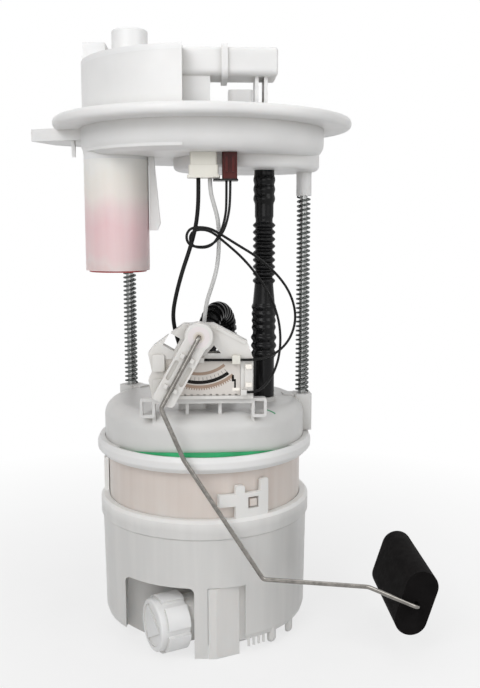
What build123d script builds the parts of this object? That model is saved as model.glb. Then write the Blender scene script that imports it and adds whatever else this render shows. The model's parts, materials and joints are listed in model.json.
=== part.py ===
from build123d import *
import math
import os

# Fuel pump module: a bucket stands on the tank floor, a flange above it rides on two sprung rods,
# and a float arm swings beside it. Millimetres, +Z up, origin at the centre of the base, front at -Y.

# Fits
slip = 0.2              # gap round parts that are clipped or dropped together
running = 0.05          # radial clearance of a part that turns or slides in a bore
rest_gap = 0.3          # gap left between parts that only rest on each other
bite = 1.0              # how far a feature sinks into the part it grows from

# Bucket
bucket_height = 70.0
bucket_radius = 53.8
bucket_taper = 0.8      # how far the wall draws in towards the feet
rim_proud = 1.0
bucket_rim_band = 10.0
bucket_rim_round = 1.4
bucket_wall = 3.3
skirt_z = 7.5           # lower edge of the bucket wall, above the tank floor
skirt_chamfer = 2.5
skirt_round = 0.8
window_height = 36.0    # top of the two openings at the front of the bucket
window_round = 3.0
foot_radius = 2.6
foot_lift = 1.0
foot_angles = (-49.5, -33.5, 60.0, 120.0, 178.0)
tooth_count = 4
tooth_margin = 1.7      # from the edge of the right window to the first tooth
tooth_step = 3.2
tooth_size = 1.3
tooth_drop = 4.0

# Snap clips on the rim
clip_angles = (-68.5, 50.0, 170.0)
clip_height = 18.0
clip_thick = 2.6
clip_tongue_x = -13.0
clip_left_x = -5.0
clip_right_x = 12.7
clip_prong = 4.6
clip_step = 2.0
clip_root = 4.0
clip_bar_z = 12.0       # top of the crossbar, above the rim
clip_bar_tall = 6.0
clip_round = 1.2
latch_x = 4.2
latch_z = 7.0
latch_window = 5.6
latch_lug = 3.6

# Inner container
container_rise = 30.0   # how far the container stands above the bucket
container_wall = 2.0
container_floor = 2.5
base_radius = 40.0
base_height = 7.0
pocket_left = -40.0
pocket_right = -5.5
pocket_back = -24.0
nose_left = 1.2
nose_right = 16.5
nose_proud = 0.4
nose_slant = 5.0
nose_flat = 4.0
nose_gap = 2.9          # open slot between the nose and the right edge of its window
nose_deep = 14.0

# Pressure regulator in the front pocket
regulator_radius = 8.0
regulator_length = 15.0
cap_radius = 14.2
cap_length = 15.0
cap_wall = 2.6
cap_step = 1.4
cap_step_length = 3.6
cap_round = 1.2
cap_notch = 1.9
cap_notch_count = 6
cap_recess = 0.7
cap_x = -26.5
cap_z = 15.2
cap_inset = 6.3         # centre of the cap's face behind the front of the bucket
cap_direction = 205.5   # compass angle of the cap's face from +X, in degrees
boss_reach = 7.0

# Lid, locking ring and seal
ring_drop = 7.0         # how far the ring reaches down over the container
ring_height = 8.0
ring_width = 4.0
ring_round = 1.2
ring_bevel = 2.4
ring_shelf = 2.0
ring_lip = 1.6
lid_wall = 1.6
lid_height = 19.0
lid_round = 8.0
lid_plate = 2.5
seal_section = 0.7
seal_rise = 2.2         # the seal squeezes up over the ring at the front
seal_spread = 38.0      # half of the angle over which it shows
seal_relief = 16.0

# Guide rods and springs
rod_radius = 2.0
rod_angles = (3.0, 142.0)
rod_grip = 20.0         # how far a rod reaches below the top of the lid
clip_seat = 16.0
clip_radius = 3.2
clip_plate = 1.2
post_radius = 5.2
post_rise = 0.6
post_shoulder = 1.2
spring_radius = 3.65
spring_wire = 0.9
travel = 25.0           # how far the flange can be pressed down
flute_spare = 7.0

# Hoses and gland on the lid
hose_x = 30.4
hose_y = -12.0
hose_radius = 4.75
hose_rib = 0.95
hose_low_radius = 5.4
hose_low_rib = 1.2
hose_bore = 3.6
hose_pitch = 2.9
rib_rise = 0.3          # shares of the pitch where a corrugation reaches and leaves its crest
rib_fall = 0.55
rib_end = 0.85
hose_low_band = (0.156, 0.358)      # shares of the hose's length
hose_step = (0.375, 0.40)
hose_middle_band = (0.516, 0.807)
hose_high_band = (0.877, 0.974)
hose_foot_rise = 2.0
seat_proud = 1.0
hose_overlap = 12.0     # length of the spigots inside the hose
transfer_radius = 4.3
transfer_rib = 1.0
transfer_rib_half = 0.7
transfer_rib_count = 24
transfer_feet = ((1.8, -20.0), (12.0, 4.0))
transfer_rise = 45.0
transfer_share = 0.96
transfer_first_rib = 0.14
gland_place = (-6.0, -31.0)
gland_size = (14.0, 8.0)
gland_rise = 6.0
gland_round = 2.0
gland_taper = 6.0

# Level sender
sender_rise = 8.0       # bottom of the sender above the lid
sender_inset = 10.0     # back of the sender behind the front of the lid
sender_deep = 7.0
sender_left = -26.2
sender_right = 23.0
socket_step = 1.8
socket_low = 9.5
socket_mid = 13.0
socket_high = 22.0
roof_step = 2.8
roof_left = 25.5
roof_half = 7.1
roof_rise = 5.0
roof_fall = 3.2
frame_round = 1.1
light_x = -15.0         # slot that light shows through
light_drop = 3.4
light_size = (6.0, 6.6)
light_turn = 30.0
notch_x = 4.6
notch_drop = 7.6
notch_base = 6.6
notch_side = 5.0
pad_inset = 4.9
pad_size = (5.6, 8.2)
pad_thick = 1.4
bead_inset = 1.4
bead_half = 0.6
bead_thick = 0.6
column_half = 2.2
column_width = 3.6
hub_x = -2.4
hub_rise = 30.6
hub_radius = 6.6
hub_step = 1.6
pin_radius = 2.5
pin_length = 4.0
card_left = -18.0
card_right = 17.0
card_height = 19.0
card_low_gap = 1.6
card_thick = 1.2
card_front_gap = 0.4
card_slot_count = 11
card_slot_step = 3.0
card_slot = (1.2, 1.6)
contact_size = (3.0, 2.2)
contact_thick = 0.35
contact_x = 20.8
contact_drop = 3.4
wire_post = (2.8, 2.4)
wire_post_reach = 2.2
high_wire_rise = 18.8   # height of the upper sender lead over the sender's bottom
low_wire_rise = 3.4
rail_drop = 2.5
rail_deep = 4.0
rail_inset = 1.0
rail_thick = 2.5
leg_places = (-24.0, -8.2, 7.4, 23.0)
leg_width = 1.6
leg_deep = 2.0
leg_sink = 5.0
loop_offset = 3.0
loop_size = (7.2, 9.4)
loop_hole = (4.4, 6.4)
loop_drop = 2.2

# Lever, wiper and float arm
lever_gap = 2.3
lever_step = 2.6        # the lever stands this far in front of its hub's back
lever_deep = 8.1
lever_length = 35.0
lever_width = 10.6
lever_round = 2.0
lever_angle = 241.0     # direction of the lever from +X, seen from the front
lever_groove = 0.55
lever_hook = (2.0, 1.8)
lever_hooks = (11.0, 27.0)
hook_side = 2.5
hook_rise = 1.2
lever_pocket = (10.0, 2.0)
lever_pocket_side = 3.4
lever_pocket_round = 0.8
lever_pocket_deep = 1.2
hub_round = 0.8
wiper_place = 22.6
wiper_size = (5.0, 3.0)
arm_radius = 1.05
arm_proud = 0.6         # the wire's axis in front of the lever
arm_knees = ((-17.6, -32.6), (-7.2, -57.1))     # the first bends, from the hub
arm_elbows = ((27.3, 43.2), (77.4, 38.5))       # the lower bends, in X and Z
arm_bend_radii = (1.5, 3.0, 12.0, 3.0, 8.0, 2.6)
arm_grip = 2.6
arm_past_float = 3.0
float_x = 102.2
float_z = 27.3
float_length = 56.0
float_width = 33.0
float_thick = 16.0
float_gap = 5.0
float_lean = 17.5
nut_radius = 3.6
nut_thick = 1.0

# Flange
flange_rise = 136.0     # underside of the brim above the lid
brim_width = 13.6
brim_thick = 5.2
bowl_margin = 9.0       # from the circle of the rods to the bowl's outside
bowl_depth = 14.0
bowl_wall = 3.0
bowl_round = 7.0
well_radius = 37.0
well_margin = 2.0       # the well's side inside the bowl's
well_drop = 6.0
well_round = 2.5
sleeve_radius = 3.9
sleeve_drop = 18.0
sleeve_cap = 2.0
chamber_inset = 1.0
chamber_rise = 29.0
chamber_end_x = -9.0
chamber_back_y = 30.0
chamber_wall = 2.5
cover_thick = 2.5
cover_block = (13.0, 34.0)
cover_block_back = 26.0
cover_block_rise = 12.5
cover_block_taper = 3.0
valve_boss = (-35.5, -8.0)
valve_boss_radius = 8.8
valve_boss_bore = 6.4
valve_boss_rise = 18.0
valve_boss_deep = 3.0
valve_boss_round = 1.2
cover_rib = (22.0, 3.0)
cover_rib_place = (-20.5, -8.0)
cover_rib_rise = 11.0

# Harness connector and outlet nipple
connector_end_x = 33.8
connector_y = (-50.0, -26.0)
connector_drop = 9.5
connector_rise = 3.0
connector_wall = 1.8
connector_round = 3.0
connector_mouth_round = 1.2
connector_cavity = 18.0
collar_x = 17.5         # ring round the connector, from its root
collar_thick = 2.8
collar_proud = 1.5
blade_length = 9.5
blade_count = 4
blade_size = (2.2, 0.8)
blade_lift = 2.2
pier_width = 12.4
pier_inset = 5.0
leg_rib = 1.6
leg_rib_places = (24.5, 28.6)
leg_rib_inset = 8.0
nipple_radius = 3.95
nipple_x = 20.0
nipple_y = 26.0
nipple_drop = 11.0
nipple_length = 44.0
nipple_bead = 1.1
nipple_bead_thick = 1.8
nipple_bead_place = 30.0
nipple_wall = 1.3
nipple_tip = 0.8
nipple_passage = 12.0
tower_size = (13.0, 16.0)
tower_cover = 1.5
tower_round = 3.0

# Brim tab and fin
tab_outline = ((-60.0, -8.0), (-87.0, 4.0), (-78.0, 26.0), (-55.0, 44.0))
tab_drop = 5.0
fin_margin = 5.0
fin_half = 4.0
fin_tip_half = 1.0
fin_drop = 13.0
fin_thick = 1.6

# Roll-over vent valve under the flange
vent_inset = 18.4       # axis of the valve inside the bowl's edge
vent_y = -14.0
vent_radius = 15.75
vent_wall = 1.4
vent_roof = 2.0
vent_drop = 1.5
vent_height = 53.5
vent_base_thick = 4.0
vent_base_proud = 0.8
vent_drain = 3.0
vent_float_radius = 12.6
vent_float_height = 38.5
vent_needle_radius = 4.0
vent_needle = 4.0
vent_needle_taper = 30.0
finger_gap = 0.4
finger_root = 2.6
finger_tip = 5.6
finger_tip_corner = 1.4
finger_drop = 35.5
finger_corner = 3.5
finger_half = 3.0

# Plugs and leads
plug_drop = 11.5
plug_place = (0.2, -44.0)
plug_size = (13.6, 11.0)
plug_step = 1.2
plug_step_rise = 5.6
plug_lip = 1.2
plug_lip_proud = 1.4
plug_round = 1.0
signal_plug_place = (12.1, -45.2)
signal_plug_size = (6.8, 10.0)
signal_plug_drop = 0.6
signal_rib = (1.2, 7.0)
signal_rib_half_step = 1.5
signal_rib_rise = 6.0
signal_rib_thick = 1.0
plate_size = (11.4, 11.0)
plate_x = 10.2
plate_thick = 0.9
signal_starts = ((12.4, -46.3), (10.7, -44.0))
lead_radius = 1.0
signal_radius = 0.6
arc_share = 0.45        # share of a run that each of its bends may use

# Electric pump inside the container
pump_radius = 19.0
pump_wall = 1.4
pump_bottom = 30.0
pump_clear = 8.0        # pump top below the top of the container
pump_cap = 6.0
pump_cap_round = 2.0
pump_spigot = 5.0
spigot_wall = 2.0
shaft_radius = 1.6
shaft_dip = 2.0
rotor_radius = 11.5
magnet_gap = 0.6
magnet_split = 9.0
magnet_foot = 12.0
magnet_head = 16.0
rotor_foot = 14.0
rotor_head = 18.0
rotor_slots = 8
rotor_slot = (5.0, 1.6)
commutator_radius = 7.1
commutator_length = 9.0
impeller_thick = 3.6
vane_count = 24
vane_slot = (2.6, 1.3)
vane_inset = 3.4
inlet_place = (9.0, 4.0)
inlet_radius = 4.6
inlet_bore = 3.2
inlet_length = 10.0
outlet_share = 0.35     # the outlet stub stands on the line to the supply hose
outlet_radius = 3.6
outlet_bore = 2.2
outlet_length = 6.0
strainer_place = (6.0, 6.0)
strainer_size = (44.0, 24.0)
strainer_round = 8.0
strainer_edge = 2.0
strainer_gap = 0.6
strainer_neck = 4.0
cradle_collar = 3.0
cradle_collar_thick = 1.8
cradle_rise = 14.0
filter_bore = 23.0
filter_inset = 5.2
filter_gap = 2.2
filter_clear = 12.0
pleat_count = 36
pleat = (6.0, 1.8)

# Places that follow from the sizes above
bucket_bore = bucket_radius - bucket_wall
bucket_foot_radius = bucket_radius - bucket_taper
container_radius = bucket_bore - rest_gap
container_bore = container_radius - container_wall
container_top = bucket_height + container_rise
ring_bottom = container_top - ring_drop
ring_top = ring_bottom + ring_height
lid_radius = container_radius + slip + lid_wall
lid_bottom = ring_bottom + ring_shelf + rest_gap
lid_top = ring_top + lid_height
ring_radius = lid_radius + ring_width
post_top = lid_top + post_rise
rod_end = lid_top - rod_grip
bore_floor = lid_top - clip_seat
rod_pocket = clip_radius + 2 * slip
hose_foot = lid_top + hose_foot_rise
gland_top = lid_top + gland_rise
sender_bottom = lid_top + sender_rise
hub_z = sender_bottom + hub_rise
sender_back = sender_inset - lid_radius
sender_front = sender_back - sender_deep
lever_back = sender_front - lever_gap
lever_front = lever_back - lever_deep
arm_plane = lever_front - arm_proud
float_near = arm_plane + float_gap
brim_bottom = lid_top + flange_rise
brim_top = brim_bottom + brim_thick
bowl_radius = lid_radius + bowl_margin
brim_radius = bowl_radius + brim_width
bowl_bottom = brim_bottom - bowl_depth
well_bottom = bowl_bottom - well_drop
well_x = bowl_radius - well_radius - well_margin
sleeve_bottom = bowl_bottom - sleeve_drop
sleeve_base = bowl_bottom + bowl_wall
chamber_radius = bowl_radius - chamber_inset
chamber_top = brim_bottom + chamber_rise
vent_top = bowl_bottom - vent_drop
vent_bottom = vent_top - vent_height
vent_x = vent_inset - bowl_radius
fin_x = -bowl_radius - fin_margin
plug_bottom = bowl_bottom - plug_drop
signal_plug_bottom = plug_bottom - signal_plug_drop
pump_top = container_top - pump_clear
nose_front = -bucket_foot_radius - nose_proud
cap_face = (cap_x, cap_inset - bucket_radius, cap_z)
os.makedirs("parts", exist_ok=True)


def polar(radius, angle):
    """Point in plan at a radius and a compass angle from +X."""
    turn = math.radians(angle)
    return (radius * math.cos(turn), radius * math.sin(turn))


def columns(places, radius, low, high):
    """Round columns on each place, from one height to another."""
    with BuildPart() as made:
        with BuildSketch(Plane.XY.offset(low)):
            with Locations(*places):
                Circle(radius)
        extrude(amount=high - low)
    return made.part


def sleeve(place, outer, inner, low, high):
    """Upright tube on a place."""
    with BuildPart() as made:
        with BuildSketch(Plane.XY.offset(low)):
            with Locations(place):
                Circle(outer)
                Circle(inner, mode=Mode.SUBTRACT)
        extrude(amount=high - low)
    return made.part


def block(place, size, low, high, corner):
    """Upright block with rounded corners on a place."""
    with BuildPart() as made:
        with BuildSketch(Plane.XY.offset(low)):
            with Locations(place):
                RectangleRounded(*size, corner)
        extrude(amount=high - low)
    return made.part


rod_points = [polar(lid_radius, angle) for angle in rod_angles]
hose_place = (hose_x, hose_y)
vent_place = (vent_x, vent_y)
pocket_x = (pocket_left + pocket_right) / 2
pocket_width = pocket_right - pocket_left

# Bucket: tapered wall with a rim band, open windows at the front, feet and snap clips
clip_top = bucket_height + clip_height
clip_bar = bucket_height + clip_bar_z
with BuildPart() as rim_clip:
    # One snap clip: tongue, two prongs and a latch window, bent round the rim
    with BuildSketch(Plane.XZ):
        with BuildLine():
            Polyline(
                (clip_tongue_x, clip_bar - clip_bar_tall), (clip_left_x, clip_bar - clip_bar_tall),
                (clip_left_x, bucket_height - clip_root), (clip_right_x, bucket_height - clip_root),
                (clip_right_x, clip_top), (clip_right_x - clip_prong, clip_top),
                (clip_right_x - clip_prong, clip_bar), (clip_left_x + clip_prong, clip_bar),
                (clip_left_x + clip_prong, clip_top - clip_step), (clip_left_x, clip_top - clip_step),
                (clip_left_x, clip_bar), (clip_tongue_x, clip_bar), close=True,
            )
        make_face()
        fillet(vertices().filter_by(lambda v: v.Y > clip_bar + slip), clip_round)
        with Locations((latch_x, bucket_height + latch_z)):
            Rectangle(latch_window, latch_window, mode=Mode.SUBTRACT)
    extrude(amount=2 * bucket_radius)
    add(sleeve((0, 0), bucket_bore + clip_thick, bucket_bore + slip, bucket_height - clip_root, clip_top),
        mode=Mode.INTERSECT)

foot_circle = bucket_foot_radius - foot_radius
tooth_circle = bucket_bore + tooth_size
tooth_first = -math.degrees(math.acos((nose_right + nose_gap + tooth_margin) / tooth_circle))
with BuildPart() as bucket:
    with BuildSketch(Plane.XZ):
        with BuildLine():
            Polyline(
                (bucket_bore, skirt_z), (bucket_foot_radius - skirt_round, skirt_z),
                (bucket_foot_radius, skirt_z + skirt_chamfer),
                (bucket_radius, bucket_height - bucket_rim_band),
                (bucket_radius + rim_proud, bucket_height - bucket_rim_band + rim_proud),
                (bucket_radius + rim_proud, bucket_height - bucket_rim_round),
                (bucket_radius + rim_proud - bucket_rim_round, bucket_height),
                (bucket_bore, bucket_height), close=True,
            )
        make_face()
    revolve(axis=Axis.Z)
    # Upright between the two front windows, and round-ended feet
    with BuildSketch(Plane.XY.offset(rest_gap)):
        Circle(-nose_front)
        with Locations((pocket_right, 0)):
            Rectangle(nose_left - slip - pocket_right, 2 * bucket_radius, align=(Align.MIN, Align.MAX),
                      mode=Mode.INTERSECT)
    extrude(amount=window_height + bite)
    for angle in foot_angles:
        with Locations((*polar(foot_circle, angle), foot_radius + foot_lift)):
            Cylinder(foot_radius, skirt_z, align=(Align.CENTER, Align.CENTER, Align.MIN))
            Sphere(foot_radius)
    add(columns([(0, 0)], bucket_bore, 0, bucket_height), mode=Mode.SUBTRACT)
    # Windows: the left one clears the regulator, the right one shows the container's nose
    with BuildSketch(Plane.XZ):
        with Locations((pocket_x, 0)):
            RectangleRounded(pocket_width, 2 * window_height, window_round)
        with Locations((nose_left - slip, 0)):
            Rectangle(nose_right + nose_gap - nose_left + slip, 2 * window_height,
                      align=(Align.MIN, Align.CENTER))
    extrude(amount=2 * bucket_radius, mode=Mode.SUBTRACT)
    # Comb of short drain teeth beside the right window
    for tooth in range(tooth_count):
        with Locations((*polar(tooth_circle, tooth_first + tooth_step * tooth), skirt_z + bite)):
            Box(tooth_size, tooth_size, tooth_drop + bite, align=(Align.CENTER, Align.CENTER, Align.MAX))
    for angle in clip_angles:
        add(rim_clip.part.rotate(Axis.Z, angle + 90))

# Container: the cup inside the bucket, with a pocket for the regulator and flutes for the rods
cap_plane = Plane(origin=cap_face, z_dir=(*polar(1, cap_direction), 0))
cap_axis = Axis(cap_face, cap_plane.z_dir)
boss_plane = cap_plane.offset(-cap_wall - rest_gap)
boss_radius = cap_radius - cap_wall - slip


def cavity(radius, low, high):
    """Inside of the container, clear of the rods' flutes, the pocket and the nose."""
    with BuildPart() as made:
        with BuildSketch(Plane.XY.offset(low)):
            Circle(radius)
            with Locations(*rod_points):
                Circle(rod_pocket + 2 * container_wall, mode=Mode.SUBTRACT)
            with Locations((pocket_x, pocket_back + container_wall)):
                Rectangle(pocket_width + 2 * container_wall, 2 * bucket_radius,
                          align=(Align.CENTER, Align.MAX), mode=Mode.SUBTRACT)
            with Locations((pocket_right, nose_front + nose_deep)):
                Rectangle(nose_right - pocket_right + container_wall, 2 * bucket_radius,
                          align=(Align.MIN, Align.MAX), mode=Mode.SUBTRACT)
        extrude(amount=high - low)
    return made.part


with BuildPart() as container:
    with BuildSketch(Plane.XZ):
        with BuildLine():
            Polyline(
                (0, 0), (base_radius, 0), (container_radius, base_height),
                (container_radius, container_top), (0, container_top), close=True,
            )
        make_face()
    revolve(axis=Axis.Z)
    # Nose that looks out of the right window, with its front turned a little to the right
    with BuildSketch():
        with BuildLine():
            Polyline(
                (nose_left, nose_front), (nose_left + nose_flat, nose_front),
                (nose_right, nose_front + nose_slant), (nose_right, pocket_back), (nose_left, pocket_back),
                close=True,
            )
        make_face()
    extrude(amount=window_height - rest_gap)
    with BuildSketch():
        with Locations((pocket_x, pocket_back)):
            Rectangle(pocket_width, 2 * bucket_radius, align=(Align.CENTER, Align.MAX))
    extrude(amount=window_height, mode=Mode.SUBTRACT)
    add(cavity(base_radius - container_wall, container_floor, base_height + container_wall),
        mode=Mode.SUBTRACT)
    add(cavity(container_bore, base_height + container_wall, window_height), mode=Mode.SUBTRACT)
    with BuildSketch(Plane.XY.offset(window_height + container_wall)):
        Circle(container_bore)
        with Locations(*rod_points):
            Circle(rod_pocket + 2 * container_wall, mode=Mode.SUBTRACT)
    extrude(amount=container_top, mode=Mode.SUBTRACT)
    add(columns([(0, 0)], filter_bore, window_height - bite, window_height + container_wall + bite),
        mode=Mode.SUBTRACT)
    # Flutes that the rod ends travel down
    add(columns(rod_points, rod_pocket, bore_floor - travel - flute_spare, container_top + bite),
        mode=Mode.SUBTRACT)
    # Slanting regulator boss that comes out of the pocket's side
    with BuildSketch(boss_plane):
        Circle(boss_radius)
    extrude(amount=-cap_length - boss_reach)
    with BuildSketch(boss_plane):
        Circle(regulator_radius + slip)
    extrude(amount=-regulator_length, mode=Mode.SUBTRACT)
    # Latch lugs that stand in the clip windows
    for angle in clip_angles:
        lug = Plane(origin=(*polar(container_radius - bite, angle), bucket_height + latch_z),
                    x_dir=(*polar(1, angle + 90), 0), z_dir=(*polar(1, angle), 0))
        with BuildSketch(lug):
            with Locations((latch_x, 0)):
                Rectangle(latch_lug, latch_lug)
        extrude(amount=bite + clip_thick)

cap_front_radius = cap_radius - cap_step
with BuildPart() as regulator_cap:
    with BuildSketch(cap_plane):
        Circle(cap_front_radius)
    extrude(amount=-cap_length)
    fillet(regulator_cap.faces().sort_by(cap_axis)[-1].edges(), cap_round)
    with BuildSketch(cap_plane.offset(-cap_step_length)):
        Circle(cap_radius)
        with PolarLocations(cap_radius, cap_notch_count):
            Circle(cap_notch, mode=Mode.SUBTRACT)
    extrude(amount=cap_step_length - cap_length)
    with BuildSketch(cap_plane.offset(-cap_wall)):
        Circle(cap_radius - cap_wall)
    extrude(amount=-cap_length, mode=Mode.SUBTRACT)
    # Spanner recess in the face
    with BuildSketch(cap_plane):
        Circle(cap_front_radius - 2 * cap_round)
        RegularPolygon(cap_front_radius - cap_wall, 3, mode=Mode.SUBTRACT)
    extrude(amount=-cap_recess, mode=Mode.SUBTRACT)

with BuildPart() as regulator:
    with BuildSketch(boss_plane):
        Circle(regulator_radius)
    extrude(amount=-regulator_length + slip)

# Locking ring with the seal's groove under its top lip
seal_radius = lid_radius + slip + seal_section
seal_z = ring_top - ring_lip - slip - seal_section
seal_outer = seal_radius + seal_section + slip
groove_floor = seal_z - seal_section - slip
with BuildPart() as locking_ring:
    with BuildSketch(Plane.XZ):
        with BuildLine():
            Polyline(
                (container_radius + slip, ring_bottom), (ring_radius - ring_bevel, ring_bottom),
                (ring_radius, ring_bottom + ring_bevel), (ring_radius, ring_top - ring_bevel),
                (ring_radius - ring_round, ring_top), (lid_radius + slip, ring_top),
                (lid_radius + slip, ring_top - ring_lip), (seal_outer, ring_top - ring_lip),
                (seal_outer, groove_floor), (lid_radius + slip, groove_floor),
                (lid_radius + slip, ring_bottom + ring_shelf),
                (container_radius + slip, ring_bottom + ring_shelf),
                close=True,
            )
        make_face()
    revolve(axis=Axis.Z)
    rim = locking_ring.edges().filter_by(GeomType.CIRCLE)
    fillet(rim.filter_by(lambda edge: edge.radius > ring_radius - slip), ring_round)
    # Opening in the lip where the seal rises at the front
    with BuildSketch(Plane.XY.offset(groove_floor)):
        Circle(seal_outer)
        with Locations((0, -seal_outer * math.cos(math.radians(seal_spread + seal_relief)))):
            Rectangle(2 * ring_radius, ring_radius, align=(Align.CENTER, Align.MAX), mode=Mode.INTERSECT)
    extrude(amount=ring_height, mode=Mode.SUBTRACT)
    add(columns(rod_points, rod_pocket, ring_bottom, ring_top), mode=Mode.SUBTRACT)

seal_tip_y = -seal_radius * math.cos(math.radians(seal_spread))
seal_slope = seal_rise / (seal_radius + seal_tip_y)
with BuildPart() as seal_swell:
    add(sleeve((0, 0), seal_radius + seal_section, lid_radius + slip, seal_z, ring_top + seal_rise + bite))
    split(bisect_by=Plane(origin=(0, seal_tip_y, ring_top), x_dir=(1, 0, 0), z_dir=(0, seal_slope, 1)),
          keep=Keep.BOTTOM)
with BuildPart() as lid_seal:
    with BuildSketch(Plane.XZ):
        with Locations((seal_radius, seal_z)):
            Circle(seal_section)
    revolve(axis=Axis.Z)
    add(seal_swell.part)
    add(columns(rod_points, rod_pocket, ring_bottom, ring_top), mode=Mode.SUBTRACT)

# Lid: domed shell with the rod posts, hose spigots, lead gland and the sender's rail
lid_bore = lid_radius - lid_wall
with BuildPart() as lid:
    with BuildSketch(Plane.XZ):
        with BuildLine():
            Polyline(
                (0, lid_top), (lid_radius, lid_top), (lid_radius, lid_bottom), (lid_bore, lid_bottom),
                (lid_bore, lid_top - lid_plate), (0, lid_top - lid_plate), close=True,
            )
        make_face()
        fillet(vertices().filter_by(lambda v: v.X > lid_radius - slip and v.Y > lid_top - slip), lid_round)
        fillet(vertices().filter_by(lambda v: abs(v.X - lid_bore) < slip and v.Y > ring_top),
               lid_round - lid_wall)
    revolve(axis=Axis.Z)
    # Square-shouldered posts round the rods
    for angle, point in zip(rod_angles, rod_points):
        post = Plane(origin=(*point, ring_top + rest_gap), x_dir=(*polar(1, angle), 0), z_dir=(0, 0, 1))
        with BuildSketch(post):
            RectangleRounded(2 * post_radius - post_shoulder, 2 * post_radius, post_shoulder)
            with Locations((-post_radius, 0)):
                Rectangle(2 * post_radius, 2 * post_radius - 2 * post_shoulder)
        extrude(amount=post_top - ring_top - rest_gap)
    add(columns(rod_points, rod_pocket, ring_bottom, bore_floor), mode=Mode.SUBTRACT)
    add(columns(rod_points, rod_radius + running, ring_bottom, post_top), mode=Mode.SUBTRACT)
    # Seats of the supply hose and the transfer hose, a spigot, and a gland for the pump leads
    add(columns([hose_place], hose_low_radius + seat_proud, lid_top - bite, hose_foot))
    add(columns(transfer_feet, transfer_radius + seat_proud, lid_top - bite, hose_foot))
    add(columns([hose_place], hose_bore - rest_gap, lid_top - bite, lid_top + hose_overlap))
    with BuildSketch(Plane.XY.offset(lid_top - bite)):
        with Locations(gland_place):
            RectangleRounded(*gland_size, gland_round)
    extrude(amount=gland_top - lid_top + bite, taper=gland_taper)
    # Sender rail on four legs, with an open loop at each end
    rail_z = sender_bottom - rail_drop
    rail_plane = Plane.XZ.offset(-sender_back + rail_inset)
    with BuildSketch(rail_plane):
        with Locations((0, rail_z)):
            Rectangle(leg_places[-1] - leg_places[0] + 2 * leg_width, rail_thick,
                      align=(Align.CENTER, Align.MIN))
        for side, edge in ((-1, leg_places[0]), (1, leg_places[-1])):
            with Locations((edge + side * loop_offset, rail_z - loop_drop)):
                RectangleRounded(*loop_size, leg_width)
                Rectangle(*loop_hole, mode=Mode.SUBTRACT)
    extrude(amount=rail_deep)
    with BuildSketch(rail_plane):
        with Locations(*[(x, lid_top - leg_sink) for x in leg_places]):
            Rectangle(leg_width, rail_z + bite - lid_top + leg_sink, align=(Align.CENTER, Align.MIN))
    extrude(amount=leg_deep)

# Pump: steel can with two end caps, magnets and a turning armature and impeller
centre = (0, 0)
magnet_bore = rotor_radius + magnet_gap
pump_bore = pump_radius - pump_wall
inlet_bottom = pump_bottom - pump_cap - inlet_length
with BuildPart() as pump_can:
    add(sleeve(centre, pump_radius, pump_bore, pump_bottom, pump_top))

with BuildPart() as pump_inlet_cap:
    add(columns([centre], pump_radius, pump_bottom - pump_cap, pump_bottom))
    add(sleeve(centre, pump_bore, pump_bore - spigot_wall, pump_bottom, pump_bottom + pump_spigot))
    add(columns([inlet_place], inlet_radius, inlet_bottom, pump_bottom - pump_cap))
    add(columns([centre], shaft_radius + running, pump_bottom - shaft_dip - bite, pump_bottom),
        mode=Mode.SUBTRACT)
    add(columns([inlet_place], inlet_bore, inlet_bottom, pump_bottom), mode=Mode.SUBTRACT)

outlet_place = (hose_x * outlet_share, hose_y * outlet_share)
with BuildPart() as pump_outlet_cap:
    add(columns([centre], pump_bore, pump_top - pump_spigot, pump_top))
    add(columns([centre], pump_radius, pump_top, pump_top + pump_cap))
    fillet(pump_outlet_cap.edges().sort_by(Axis.Z)[-1], pump_cap_round)
    add(sleeve(outlet_place, outlet_radius, outlet_bore, pump_top + pump_cap,
               pump_top + pump_cap + outlet_length))
    add(columns([centre], shaft_radius + running, pump_top - pump_spigot, pump_top), mode=Mode.SUBTRACT)

with BuildPart() as magnets:
    with BuildSketch(Plane.XY.offset(pump_bottom + magnet_foot)):
        Circle(pump_bore - running)
        Circle(magnet_bore, mode=Mode.SUBTRACT)
        Rectangle(magnet_split, 3 * pump_radius, mode=Mode.SUBTRACT)
    extrude(amount=pump_top - pump_bottom - magnet_foot - magnet_head)

with BuildPart() as armature:
    add(columns([centre], shaft_radius, pump_bottom - shaft_dip, pump_top - shaft_dip))
    with BuildSketch(Plane.XY.offset(pump_bottom + rotor_foot)):
        Circle(rotor_radius)
        with PolarLocations(rotor_radius, rotor_slots):
            Rectangle(*rotor_slot, mode=Mode.SUBTRACT)
    extrude(amount=pump_top - pump_bottom - rotor_foot - rotor_head)
    add(columns([centre], commutator_radius, pump_top - rotor_head,
                pump_top - rotor_head + commutator_length))

with BuildPart() as impeller:
    with BuildSketch(Plane.XY.offset(pump_bottom + rest_gap)):
        Circle(pump_bore - spigot_wall - rest_gap)
        Circle(shaft_radius, mode=Mode.SUBTRACT)
        with PolarLocations(pump_bore - vane_inset, vane_count):
            Rectangle(*vane_slot, mode=Mode.SUBTRACT)
    extrude(amount=impeller_thick)

# Rubber cradle that holds the pump in the container's neck, the strainer under it and the filter round it
deck_top = window_height + container_wall
with BuildPart() as pump_cradle:
    add(sleeve(centre, filter_bore - slip, pump_radius + slip, window_height, deck_top + cradle_rise))
    add(sleeve(centre, filter_bore + cradle_collar, pump_radius + slip, deck_top,
               deck_top + cradle_collar_thick))

with BuildPart() as strainer:
    add(block(strainer_place, strainer_size, container_floor + strainer_gap,
              inlet_bottom - strainer_neck + bite,
              strainer_round))
    fillet(strainer.edges().group_by(Axis.Z)[-1], strainer_edge)
    add(columns([inlet_place], inlet_radius, inlet_bottom - strainer_neck, inlet_bottom))

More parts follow.
